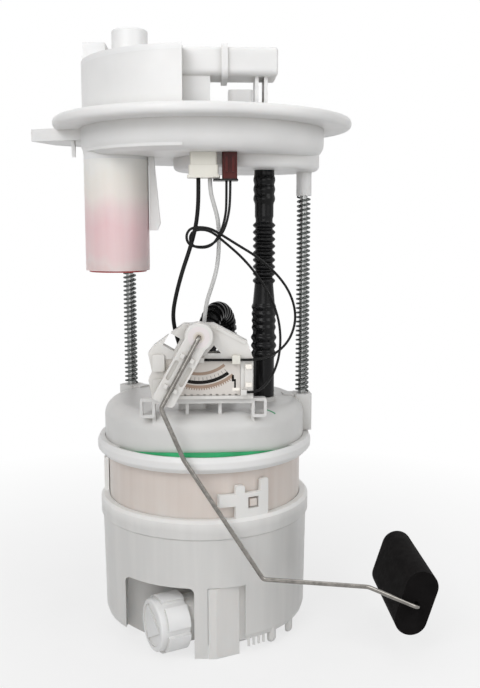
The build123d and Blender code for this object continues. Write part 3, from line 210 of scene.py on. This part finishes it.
def tint_and_painted_light(name, stops, low, high, roughness=(0.3, 0.45), depth=0.25, streak_colour=(0.95, 0.93, 0.9)):
    """Milky plastic whose colour runs along its height. Its stops can hold painted light as well as the
    plastic's own tint.
    """
    made, tree, shader, place = new_material(name)
    split = tree.nodes.new("ShaderNodeSeparateXYZ")
    tree.links.new(place, split.inputs["Vector"])
    height = spread(tree, split.outputs["Z"], 0, 1, low, high)
    wander = spread(tree, noise(tree, place, scale=70, detail=3, stretch=(1, 1, 0.25)), -0.06, 0.06)
    colour = ramp(tree, number_step(tree, "ADD", height, wander), stops)
    streaks = spread(tree, noise(tree, place, scale=190, detail=3, stretch=(1, 1, 0.06)), 0, 0.16)
    polish = spread(tree, noise(tree, place, scale=300, detail=3), *roughness)
    tree.links.new(blend_colours(tree, streaks, colour, streak_colour), shader.inputs["Base Color"])
    tree.links.new(polish, shader.inputs["Roughness"])
    bump(tree, shader, noise(tree, place, scale=1800, detail=2), strength=0.1, distance=0.00005)
    carry_light(shader, depth, reach=(0.004, 0.003, 0.0026))
    return made


def metal(name, light, dark, roughness, stretch=(1, 1, 1), scale=900):
    """Drawn or plated metal with streaks along its length."""
    made, tree, shader, place = new_material(name)
    streak = noise(tree, place, scale, stretch=stretch)
    tree.links.new(mottle(tree, streak, dark, light), shader.inputs["Base Color"])
    tree.links.new(spread(tree, streak, *roughness), shader.inputs["Roughness"])
    bump(tree, shader, streak, strength=0.15, distance=0.00004)
    shader.inputs["Metallic"].default_value = 1.0
    return made


def rubber(name, light, dark, roughness, grain_scale, grain, specular=0.4):
    """Rubber, soft insulation or print, with a dusty sheen and fine grain."""
    made, tree, shader, place = new_material(name)
    cloud = noise(tree, place, scale=90, detail=5)
    polish = spread(tree, noise(tree, place, scale=340, detail=3), *roughness)
    tree.links.new(mottle(tree, cloud, dark, light), shader.inputs["Base Color"])
    tree.links.new(polish, shader.inputs["Roughness"])
    bump(tree, shader, noise(tree, place, grain_scale, detail=3), strength=grain, distance=0.0001)
    shader.inputs["Specular IOR Level"].default_value = specular
    return made


def paint_over(finish, factor, colour):
    """Covers a material's own colour with another by a factor."""
    base = finish.node_tree.nodes["Principled BSDF"].inputs["Base Color"]
    covered = blend_colours(finish.node_tree, factor, base.links[0].from_socket, colour)
    finish.node_tree.links.new(covered, base)


def paint_stroke(finish, start, stop, width, colour):
    """Adds a short painted stroke between two points to a material."""
    tree = finish.node_tree
    along = Vector(stop) - Vector(start)
    place = tree.nodes.new("ShaderNodeTexCoord").outputs["Object"]
    offset = vector_step(tree, "SUBTRACT", place, start)
    share = vector_step(tree, "DOT_PRODUCT", offset, along / along.length_squared, "Value")
    nearest = vector_step(tree, "MULTIPLY", along, spread(tree, share, 0, 1, start=0, stop=1))
    away = vector_step(tree, "DISTANCE", offset, nearest, "Value")
    paint_over(finish, spread(tree, away, 1, 0, start=0.4 * width, stop=0.6 * width), colour)


def paint_hub(finish, centre_x, centre_z, rings, strength=0.75, edge=0.0004):
    """Adds rings of colour round an axis along y to a material, as (radius, colour) from the middle out."""
    tree = finish.node_tree
    place = tree.nodes.new("ShaderNodeTexCoord").outputs["Object"]
    flat = vector_step(tree, "MULTIPLY", place, (1, 0, 1))
    away = vector_step(tree, "DISTANCE", flat, (centre_x, 0, centre_z), "Value")
    for radius, colour in reversed(rings):
        paint_over(finish, spread(tree, away, strength, 0, start=radius - edge, stop=radius), colour)


# Plastics. A moulded one has painted shade in its corners and recesses; one whose colour runs along its
# height has its stops spread between two heights, in metres
white = moulded("white_plastic", (0.85, 0.845, 0.838), (0.79, 0.787, 0.782), depth=0.10)
lid_white = moulded("lid_plastic", (0.73, 0.725, 0.712), (0.67, 0.665, 0.652), depth=0.10)
bright_white = moulded("bright_white_plastic", (0.87, 0.87, 0.865), (0.82, 0.82, 0.82), depth=0.10)
sender_white = moulded("sender_plastic", (0.79, 0.775, 0.75), (0.73, 0.715, 0.69), depth=0.10)
holder_white = moulded("holder_plastic", (0.79, 0.775, 0.75), (0.73, 0.715, 0.69), depth=0.10)
# The bucket runs from darker below to lighter above.
bucket_stops = (
    (0.0, (0.66, 0.655, 0.642)), (0.45, (0.67, 0.665, 0.652)), (0.7, (0.82, 0.815, 0.80)),
    (1.0, (0.82, 0.81, 0.79)),
)
bucket_milky = tint_and_painted_light("bucket_milky", bucket_stops, low=0.055, high=0.075, depth=0.1)
# The lighter lower stops are painted light for the shaded recess behind the bucket's windows; the warm tint
# of the upper stops is the container's own colour.
container_stops = (
    (0.0, (0.72, 0.71, 0.695)), (0.5, (0.71, 0.695, 0.675)), (0.72, (0.69, 0.615, 0.565)),
    (1.0, (0.68, 0.59, 0.54)),
)
beige = tint_and_painted_light("beige_container", container_stops, low=0.0, high=0.1)
# The pink band low on the vent is painted light: it stands in for the red float inside showing through the
# milky wall. The pale top is the housing's own colour.
vent_stops = (
    (0.0, (0.76, 0.58, 0.57)), (0.06, (0.78, 0.63, 0.62)), (0.14, (0.80, 0.57, 0.58)),
    (0.40, (0.81, 0.54, 0.56)), (0.55, (0.82, 0.62, 0.62)), (0.68, (0.84, 0.76, 0.71)),
    (0.82, (0.84, 0.79, 0.73)), (1.0, (0.84, 0.82, 0.79)),
)
vent_pink = tint_and_painted_light("vent_milky", vent_stops, low=0.187, high=0.2405)
red = moulded(
    "red_plastic", (0.60, 0.06, 0.05), (0.46, 0.035, 0.03), (0.25, 0.4), depth=0.05, corner_shade_tint=(0.6, 0.5, 0.5))
ivory = moulded("ivory_plastic", (0.80, 0.78, 0.71), (0.74, 0.72, 0.65), (0.35, 0.5), depth=0.08)
brown = moulded(
    "brown_plastic", (0.085, 0.012, 0.010), (0.055, 0.008, 0.007), (0.3, 0.45), depth=0.02,
    corner_shade_tint=(0.5, 0.45, 0.45), specular=0.2)
card = moulded("card_ceramic", (0.74, 0.70, 0.66), (0.69, 0.65, 0.61), (0.5, 0.65))
paper = moulded("filter_paper", (0.72, 0.62, 0.42), (0.62, 0.52, 0.34), (0.8, 0.95), grain=0.4)
cloth = moulded("strainer_cloth", (0.82, 0.82, 0.80), (0.72, 0.72, 0.70), (0.7, 0.85), grain=0.6)

# Green stroke on the lid, and rings of colour round the hub of the lever, darker towards the middle
stroke_start = (0.0306, -0.0353, 0.1196)
stroke_stop = (0.0342, -0.0356, 0.1179)
stroke_width = 0.0011
stroke_green = (0.05, 0.34, 0.15)
paint_stroke(lid_white, stroke_start, stroke_stop, stroke_width, stroke_green)
hub_rings = (
    (0.0019, (0.50, 0.43, 0.35)),
    (0.0028, (0.70, 0.64, 0.57)),
    (0.0052, (0.80, 0.73, 0.74)),
)
paint_hub(holder_white, pivot_x, pivot_z, hub_rings)

# Rubbers, insulation and prints
green = rubber(
    "green_seal", (0.03, 0.42, 0.16), (0.02, 0.30, 0.11), (0.3, 0.45), grain_scale=1200, grain=0.15)
black_hose = rubber(
    "black_hose", (0.008, 0.008, 0.009), (0.004, 0.004, 0.004), (0.16, 0.24), grain_scale=1400, grain=0.12,
    specular=0.16)
black_lead = rubber(
    "black_insulation", (0.010, 0.010, 0.010), (0.005, 0.005, 0.005), (0.32, 0.45), grain_scale=2200,
    grain=0.1, specular=0.15)
grey_lead = rubber(
    "grey_insulation", (0.66, 0.66, 0.65), (0.58, 0.58, 0.57), (0.35, 0.5), grain_scale=2200, grain=0.1)
foam = rubber(
    "float_foam", (0.009, 0.008, 0.008), (0.005, 0.0045, 0.0045), (0.75, 0.9), grain_scale=3800, grain=0.6,
    specular=0.06)
track_brown = rubber(
    "track_brown", (0.43, 0.31, 0.235), (0.35, 0.25, 0.19), (0.45, 0.6), grain_scale=2600, grain=0.2)
track_black = rubber(
    "track_black", (0.012, 0.011, 0.010), (0.006, 0.006, 0.005), (0.4, 0.55), grain_scale=2600, grain=0.1,
    specular=0.12)
ferrite = rubber(
    "ferrite", (0.06, 0.06, 0.06), (0.035, 0.035, 0.035), (0.6, 0.8), grain_scale=2000, grain=0.3)

# Metals
tinned = metal("tinned_pad", (0.74, 0.71, 0.66), (0.62, 0.59, 0.54), (0.35, 0.5), scale=1600)
bright_steel = metal("bright_steel", (0.56, 0.55, 0.54), (0.42, 0.41, 0.40), (0.18, 0.32), (1, 1, 0.08))
rod_steel = metal("rod_steel", (0.36, 0.365, 0.36), (0.28, 0.285, 0.28), (0.25, 0.4), (1, 1, 0.08))
arm_steel = metal("arm_steel", (0.29, 0.275, 0.255), (0.19, 0.18, 0.168), (0.12, 0.18), scale=500)
spring_steel = metal("spring_steel", (0.13, 0.14, 0.135), (0.06, 0.066, 0.064), (0.25, 0.4), scale=1500)
brass = metal("contact_brass", (0.72, 0.60, 0.36), (0.55, 0.44, 0.25), (0.3, 0.45), scale=1500)
pump_steel = metal("pump_steel", (0.60, 0.61, 0.62), (0.48, 0.49, 0.50), (0.25, 0.4), (1, 1, 0.1))
winding = metal("winding", (0.46, 0.24, 0.12), (0.24, 0.17, 0.13), (0.35, 0.5), (1, 1, 0.2))

finish_of = {
    white: ("locking_ring", "flange_cover", "pump_inlet_cap", "pump_outlet_cap"),
    bucket_milky: ("bucket",),
    lid_white: ("lid",),
    bright_white: ("regulator_cap", "chamber_cover"),
    sender_white: ("sender_frame",),
    holder_white: ("arm_holder",),
    beige: ("container", "impeller"),
    vent_pink: ("vent_housing",),
    red: ("vent_base", "vent_float"),
    green: ("lid_seal",),
    black_hose: ("transfer_hose", "pump_cradle", "plug_plate"),
    foam: ("float_block",),
    ivory: ("pump_plug",),
    brown: ("sender_plug",),
    card: ("resistor_card",),
    bright_steel: ("float_nut", "regulator"),
    rod_steel: ("guide_rod_left", "guide_rod_right"),
    arm_steel: ("arm_wire",),
    spring_steel: ("rod_clips",),
    brass: ("wiper", "terminal_blades"),
    tinned: ("sender_contacts",),
    pump_steel: ("pump_can",),
    ferrite: ("magnets",),
    winding: ("armature",),
    paper: ("filter_element",),
    cloth: ("strainer",),
}
for finish, names in finish_of.items():
    for name in names:
        for material_slot in nodes[name].material_slots:
            material_slot.material = finish


# Meshes made here

def mesh_piece(name, points, faces, finish, body, smooth=True):
    """A mesh object that rides on a body."""
    mesh = bpy.data.meshes.new(name)
    mesh.from_pydata(points, [], faces)
    mesh.validate()
    mesh.update()
    for polygon in mesh.polygons:
        polygon.use_smooth = smooth
    mesh.materials.append(finish)
    piece = bpy.data.objects.new(name, mesh)
    bpy.context.scene.collection.objects.link(piece)
    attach(piece, body)
    return piece


def tube(name, path, radius, finish, body, sides=12):
    """A round tube with closed ends along a list of points."""
    path = [Vector(point) for point in path]
    points, faces = [], []
    across = None
    for i, centre in enumerate(path):
        ahead = path[min(i + 1, len(path) - 1)]
        behind = path[max(i - 1, 0)]
        along = (ahead - behind).normalized()
        if across is None:
            across = along.orthogonal().normalized()
        across = (across - along * across.dot(along)).normalized()
        other = along.cross(across)
        for k in range(sides):
            turn = 2 * math.pi * k / sides
            points.append(centre + (across * math.cos(turn) + other * math.sin(turn)) * radius)
    for i in range(len(path) - 1):
        for k in range(sides):
            after = (k + 1) % sides
            faces.append((i * sides + k, i * sides + after, (i + 1) * sides + after, (i + 1) * sides + k))
    faces.append(tuple(reversed(range(sides))))
    last = (len(path) - 1) * sides
    faces.append(tuple(range(last, last + sides)))
    return mesh_piece(name, points, faces, finish, body)


def follow_slide(piece):
    """Gives a piece that hangs from the flange its own copy of its mesh."""
    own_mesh(piece)


# Guide springs: coils between the lid's posts and the flange's sleeves
spring_turns = 42.5
spring_wire = 0.0011
spring_sides = 8
steps_per_turn = 20
spring_steps = int(spring_turns * steps_per_turn)

for side in ("left", "right"):
    low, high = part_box(f"spring_{side}")
    middle = (Vector(low) + Vector(high)) / 2
    coil_radius = (high[0] - low[0] - spring_wire) / 2
    coil_path = []
    for i in range(spring_steps + 1):
        turn = 2 * math.pi * i / steps_per_turn
        rise = spring_wire / 2 + (high[2] - low[2] - spring_wire) * i / spring_steps
        coil_path.append((
            middle.x + coil_radius * math.cos(turn), middle.y + coil_radius * math.sin(turn), low[2] + rise,
        ))
    coil = tube(f"guide_spring_{side}", coil_path, spring_wire / 2, spring_steel, "flange",
                sides=spring_sides)
    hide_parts(f"spring_{side}")
    follow_slide(coil)


# Supply hose: smooth cuffs with rounded corrugations, thicker below
hose_low, hose_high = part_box("supply_hose")
hose_middle = (Vector(hose_low) + Vector(hose_high)) / 2
hose_length = hose_high[2] - hose_low[2]
hose_bore = 0.0036
hose_sides = 40
hose_steps = 320
rib_fullness = 0.7
# Wall radius at shares of the hose's length
hose_wall = (
    (0.0, 0.0054), (0.165, 0.0054), (0.18, 0.0055), (0.41, 0.0057), (0.505, 0.0047), (0.52, 0.0043),
    (0.79, 0.0043), (0.80, 0.0047), (0.85, 0.0047), (0.87, 0.005), (1.0, 0.005),
)
# Ribbed stretches: start and stop as shares, pitch and height of a rib
hose_bands = (
    (0.172, 0.292, 0.0042, 0.001), (0.294, 0.42, 0.0035, 0.0006), (0.504, 0.80, 0.00345, 0.0014),
    (0.857, 0.985, 0.00465, 0.0005),
)


def hose_size(share):
    """Outside radius of the hose at a share of its length."""
    radius = hose_wall[-1][1]
    for (start, first), (stop, last) in zip(hose_wall, hose_wall[1:]):
        if start <= share < stop:
            radius = first + (last - first) * (share - start) / (stop - start)
    for start, stop, pitch, rib in hose_bands:
        place = (share - start) * hose_length / pitch
        if 0 <= place <= int((stop - start) * hose_length / pitch):
            radius += rib * (0.5 - 0.5 * math.cos(2 * math.pi * place)) ** rib_fullness
    return radius


# Level rings up the outside, then down the bore: height and radius
hose_rings = [
    (hose_low[2] + hose_length * i / hose_steps, hose_size(i / hose_steps)) for i in range(hose_steps + 1)]
hose_rings += [(hose_high[2], hose_bore), (hose_low[2], hose_bore)]
hose_points, hose_faces = [], []
for i, (z, radius) in enumerate(hose_rings):
    this = i * hose_sides
    upper = (i + 1) % len(hose_rings) * hose_sides
    for k in range(hose_sides):
        turn = 2 * math.pi * k / hose_sides
        after = (k + 1) % hose_sides
        hose_points.append(
            (hose_middle.x + radius * math.cos(turn), hose_middle.y + radius * math.sin(turn), z))
        hose_faces.append((this + k, this + after, upper + after, upper + k))
hose = mesh_piece("corrugated_supply_hose", hose_points, hose_faces, black_hose, "flange")
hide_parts("supply_hose")
follow_slide(hose)


# Leads: smooth lines through the routes of the leads, in metres
lead_routes = {
    "pump_lead_black": (
        (-0.0022, -0.045, 0.2305), (-0.0022, -0.045, 0.2237), (-0.0025, -0.0435, 0.2164),
        (-0.0036, -0.0425, 0.208), (-0.0064, -0.042, 0.198), (-0.0101, -0.0415, 0.1875),
        (-0.0132, -0.0405, 0.1762), (-0.0148, -0.039, 0.1674), (-0.0141, -0.037, 0.16),
        (-0.0122, -0.035, 0.153), (-0.0103, -0.033, 0.145), (-0.0088, -0.0316, 0.136),
        (-0.0082, -0.031, 0.1263),
    ),
    "pump_lead_grey": (
        (0.0031, -0.045, 0.2305), (0.0031, -0.045, 0.225), (0.0049, -0.044, 0.2185),
        (0.0069, -0.043, 0.2114), (0.0073, -0.0424, 0.2009), (0.0065, -0.0416, 0.1901),
        (0.0042, -0.04, 0.1815), (0.0012, -0.0375, 0.1728), (0.0001, -0.0355, 0.163),
        (-0.0012, -0.0335, 0.153), (-0.0028, -0.032, 0.1435), (-0.0036, -0.0312, 0.1345),
        (-0.0038, -0.031, 0.1263),
    ),
    "sender_lead_a": (
        (0.0124, -0.0463, 0.2299), (0.0124, -0.0463, 0.2215), (0.0116, -0.048, 0.2136),
        (0.009, -0.0496, 0.2054), (0.0032, -0.0504, 0.1993), (-0.0051, -0.0509, 0.1992),
        (-0.0077, -0.051, 0.20184), (-0.0077, -0.0511, 0.20556), (-0.0051, -0.0513, 0.2082),
        (0.0024, -0.0518, 0.208), (0.0078, -0.052, 0.205), (0.0153, -0.051, 0.2003),
        (0.0243, -0.048, 0.1949), (0.0331, -0.0435, 0.1876), (0.0394, -0.04, 0.18),
        (0.0432, -0.037, 0.1717), (0.0442, -0.036, 0.1635), (0.0418, -0.037, 0.1556),
        (0.0372, -0.04, 0.1504), (0.0318, -0.0445, 0.1478), (0.027, -0.0486, 0.147),
        (0.022, -0.0505, 0.1468), (0.015, -0.0502, 0.1468), (0, -0.0502, 0.1468),
    ),
    "sender_lead_b": (
        (0.0107, -0.044, 0.2299), (0.0107, -0.044, 0.2215), (0.0104, -0.045, 0.2138),
        (0.008, -0.0455, 0.2054), (0.0034, -0.0458, 0.1989), (-0.0037, -0.046, 0.1987),
        (-0.0062, -0.046, 0.20116), (-0.0062, -0.0461, 0.20464), (-0.0037, -0.0463, 0.2071),
        (0.003, -0.0472, 0.2068), (0.0094, -0.0476, 0.2016), (0.0178, -0.046, 0.1944),
        (0.025, -0.043, 0.186), (0.0316, -0.04, 0.1758), (0.0356, -0.038, 0.1654),
        (0.0369, -0.037, 0.1556), (0.0362, -0.038, 0.147), (0.0338, -0.041, 0.14),
        (0.03, -0.0455, 0.1348), (0.0262, -0.0492, 0.1322), (0.0229, -0.0504, 0.1314),
        (0.0198, -0.0504, 0.1314),
    ),
}
pump_lead_radius = 0.001
sender_lead_radius = 0.0006
lead_looks = {
    "pump_lead_black": (pump_lead_radius, black_lead, "black_rubber"),
    "pump_lead_grey": (pump_lead_radius, grey_lead, "grey_insulation"),
    "sender_lead_a": (sender_lead_radius, black_lead, "black_rubber"),
    "sender_lead_b": (sender_lead_radius, black_lead, "black_rubber"),
}


def smooth_line(route):
    """Points along a NURBS curve that has the route as its control points."""
    curve = bpy.data.curves.new("route", "CURVE")
    curve.dimensions = "3D"
    curve.resolution_u = 10
    spline = curve.splines.new("NURBS")
    spline.points.add(len(route) - 1)
    for point, place in zip(spline.points, route):
        point.co = (*place, 1)
    spline.order_u = 3
    spline.use_endpoint_u = True
    holder = bpy.data.objects.new("route", curve)
    bpy.context.scene.collection.objects.link(holder)
    bpy.context.view_layer.update()
    line = bpy.data.meshes.new_from_object(holder.evaluated_get(bpy.context.evaluated_depsgraph_get()))
    path = [vertex.co.copy() for vertex in line.vertices]
    bpy.data.objects.remove(holder)
    bpy.data.meshes.remove(line)
    return path


for name, route in lead_routes.items():
    radius, finish, record_slot = lead_looks[name]
    path = smooth_line(route)
    wire = tube(f"{name}_wire", path, radius, finish, "flange")
    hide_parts(name)
    follow_slide(wire)


# Printed tracks of the resistor card, round the pivot of the lever
card_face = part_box("resistor_card")[0][1]
print_depth = 0.00006
# Inner and outer radius of each strip
inner_track = (0.0179, 0.0193)
contact_ticks = (0.0203, 0.0218)
contact_strip = (0.0219, 0.0235)
outer_track = (0.0241, 0.0256)
comb_teeth = (0.0256, 0.0264)
# Angles in degrees
track_start = 233.0
track_stop = 309.5
inner_lead = 6
outer_lag = 4
contact_stop = 306.8
comb_pitch = 2.6
tooth_width = 1.1
tick_width = 0.35
# Places of the comb, of which every other one has a tick and all from the first tooth on have a tooth
comb_count = 29
first_tooth = 3
# Outlines in x and z
stepped_trace = (
    (0.0129, 0.1394), (0.0129, 0.1363), (0.014, 0.1363), (0.014, 0.1332), (0.0148, 0.1332),
    (0.0148, 0.1374), (0.0139, 0.1374), (0.0139, 0.1394),
)
pad_outline = ((0.0132, 0.1332), (0.0132, 0.1318), (0.0166, 0.1318), (0.0166, 0.1332))


def slab(outline, points, faces):
    """Adds a thin print with an outline in x and z to the lists of a mesh."""
    first = len(points)
    count = len(outline)
    for depth in (0.0, print_depth):
        points.extend((x, card_face - depth, z) for x, z in outline)
    faces.append(tuple(reversed(range(first, first + count))))
    faces.append(tuple(range(first + count, first + 2 * count)))
    for i in range(count):
        after = (i + 1) % count
        faces.append((first + i, first + after, first + count + after, first + count + i))


def sector(strip, start, stop, steps=40):
    """Outline of a strip round the pivot between two angles in degrees."""
    inner, outer = strip
    turns = [math.radians(start + (stop - start) * i / steps) for i in range(steps + 1)]
    places = [(outer, turn) for turn in turns] + [(inner, turn) for turn in reversed(turns)]
    return [(pivot_x + radius * math.cos(turn), pivot_z + radius * math.sin(turn))
            for radius, turn in places]


def prints(name, outlines, finish):
    """One mesh of thin prints on the card."""
    points, faces = [], []
    for outline in outlines:
        slab(outline, points, faces)
    return mesh_piece(name, points, faces, finish, "reservoir", smooth=False)


comb = [track_start + comb_pitch * i for i in range(comb_count)]
prints("resistor_tracks", [
    sector(inner_track, track_start - inner_lead, track_stop),
    sector(outer_track, track_start + outer_lag, track_stop),
    *[sector(comb_teeth, turn, turn + tooth_width, steps=2) for turn in comb[first_tooth:]],
], track_brown)
prints("contact_track", [
    sector(contact_strip, track_start, contact_stop),
    *[sector(contact_ticks, turn, turn + tick_width, steps=1) for turn in comb[::2]],
    stepped_trace,
], track_black)
prints("track_pad", [pad_outline], tinned)


# Clip that holds the upper sender lead on the frame: an outline in y and z, drawn out along x
clip_left, clip_right = 0.013, 0.0168
clip_outline = (
    (-0.049, 0.149), (-0.0515, 0.149), (-0.0515, 0.145), (-0.049, 0.145), (-0.049, 0.14605),
    (-0.0509, 0.14605), (-0.0509, 0.14755), (-0.049, 0.14755),
)
clip_points = [(x, y, z) for x in (clip_left, clip_right) for y, z in clip_outline]
clip_count = len(clip_outline)
# Three quads fill each end, then one runs along each edge of the outline
clip_faces = [(7, 6, 1, 0), (6, 5, 2, 1), (5, 4, 3, 2)]
clip_faces += [tuple(clip_count + i for i in reversed(face)) for face in clip_faces]
clip_faces += [(i, (i + 1) % clip_count, clip_count + (i + 1) % clip_count, clip_count + i)
               for i in range(clip_count)]
mesh_piece("lead_clip", clip_points, clip_faces, ivory, "reservoir", smooth=False)


# Camera, with its focal length in pixels of the photo's height
photo_focus = 857.0
photo_height = 688.0
camera_place = (0.0, -0.445, 0.2098)
camera_turn = 2.42
camera_tilt = 8.0

camera_data = bpy.data.cameras.new("photo_camera")
camera_data.sensor_width = 36.0
camera_data.lens = photo_focus * camera_data.sensor_width / photo_height
camera_data.clip_start = 0.01
camera_data.clip_end = 20.0
camera = bpy.data.objects.new("photo_camera", camera_data)
camera.location = camera_place
camera.rotation_euler = (math.radians(90 - camera_tilt), 0, math.radians(-camera_turn))
bpy.context.scene.collection.objects.link(camera)
bpy.context.scene.camera = camera


# Floor and surround, white where they are seen
floor_half = 4.0
floor_drop = 0.0003
floor_grey = (0.74, 0.74, 0.74)
floor_patches = (0.71, 0.71, 0.71)
# Share of plain white near the part, where its shadow shows, and the distances over which that grows to 1
near_glow = 0.73
glow_start = 0.08
glow_stop = 0.36
surround_light = 0.31


def seen_rays(tree):
    """1 on rays that show the surround: seen directly, mirrored or through glass."""
    rays = tree.nodes.new("ShaderNodeLightPath").outputs
    mirrored = number_step(tree, "MAXIMUM", rays["Is Camera Ray"], rays["Is Glossy Ray"])
    return number_step(tree, "MAXIMUM", mirrored, rays["Is Transmission Ray"])


floor_mesh = bpy.data.meshes.new("floor")
floor_corners = [(x * floor_half, y * floor_half, 0) for x, y in ((-1, -1), (1, -1), (1, 1), (-1, 1))]
floor_mesh.from_pydata(floor_corners, [], [(0, 1, 2, 3)])
floor = bpy.data.objects.new("floor", floor_mesh)
floor.location.z = -floor_drop
bpy.context.scene.collection.objects.link(floor)
floor_paint, floor_tree, floor_shader, floor_place = new_material("floor_paint")
floor_colour = mottle(floor_tree, noise(floor_tree, floor_place, scale=30), floor_grey, floor_patches)
floor_tree.links.new(floor_colour, floor_shader.inputs["Base Color"])
floor_shader.inputs["Roughness"].default_value = 0.9
floor_shader.inputs["Specular IOR Level"].default_value = 0.0
glow = floor_tree.nodes.new("ShaderNodeEmission")
glow.inputs["Strength"].default_value = 1.0
reach = vector_step(floor_tree, "DISTANCE", floor_place, (0, 0, 0), "Value")
glow_share = spread(floor_tree, reach, near_glow, 1.0, start=glow_start, stop=glow_stop)
seen_glow = number_step(floor_tree, "MULTIPLY", seen_rays(floor_tree), glow_share)
mixed = floor_tree.nodes.new("ShaderNodeMixShader")
floor_tree.links.new(seen_glow, mixed.inputs[0])
floor_tree.links.new(floor_shader.outputs[0], mixed.inputs[1])
floor_tree.links.new(glow.outputs[0], mixed.inputs[2])
floor_tree.links.new(mixed.outputs[0], floor_tree.nodes["Material Output"].inputs["Surface"])
floor.data.materials.append(floor_paint)
floor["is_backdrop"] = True

world = bpy.data.worlds.new("studio")
bpy.context.scene.world = world
world.use_nodes = True
world_tree = world.node_tree
sky = world_tree.nodes["Background"]
sky.inputs["Color"].default_value = (1, 1, 1, 1)
sky_level = spread(world_tree, seen_rays(world_tree), surround_light, 1.0, start=0, stop=1)
world_tree.links.new(sky_level, sky.inputs["Strength"])


# Lamps: place, point aimed at, size and power
lamps = {
    "key_light": ((-0.32, -0.5, 0.56), (0.0, 0.0, 0.24), (0.35, 0.35), 1.9),
    "fill_light": ((0.42, -0.4, 0.42), (0.0, 0.0, 0.24), (0.35, 0.35), 0.9),
    "front_light": ((-0.12, -0.85, 0.16), (0.0, 0.0, 0.14), (0.5, 0.3), 0.95),
    "top_light": ((0.05, 0.15, 0.9), (0.0, 0.0, 0.2), (0.8, 0.8), 1.7),
}
for name, (place, target, size, power) in lamps.items():
    lamp = bpy.data.lights.new(name, "AREA")
    lamp.shape = "RECTANGLE"
    lamp.size, lamp.size_y = size
    lamp.energy = power
    holder = bpy.data.objects.new(name, lamp)
    holder.location = place
    holder.rotation_euler = (Vector(target) - Vector(place)).to_track_quat("-Z", "Y").to_euler()
    bpy.context.scene.collection.objects.link(holder)

bpy.context.scene.view_settings.view_transform = "Standard"

low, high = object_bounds()
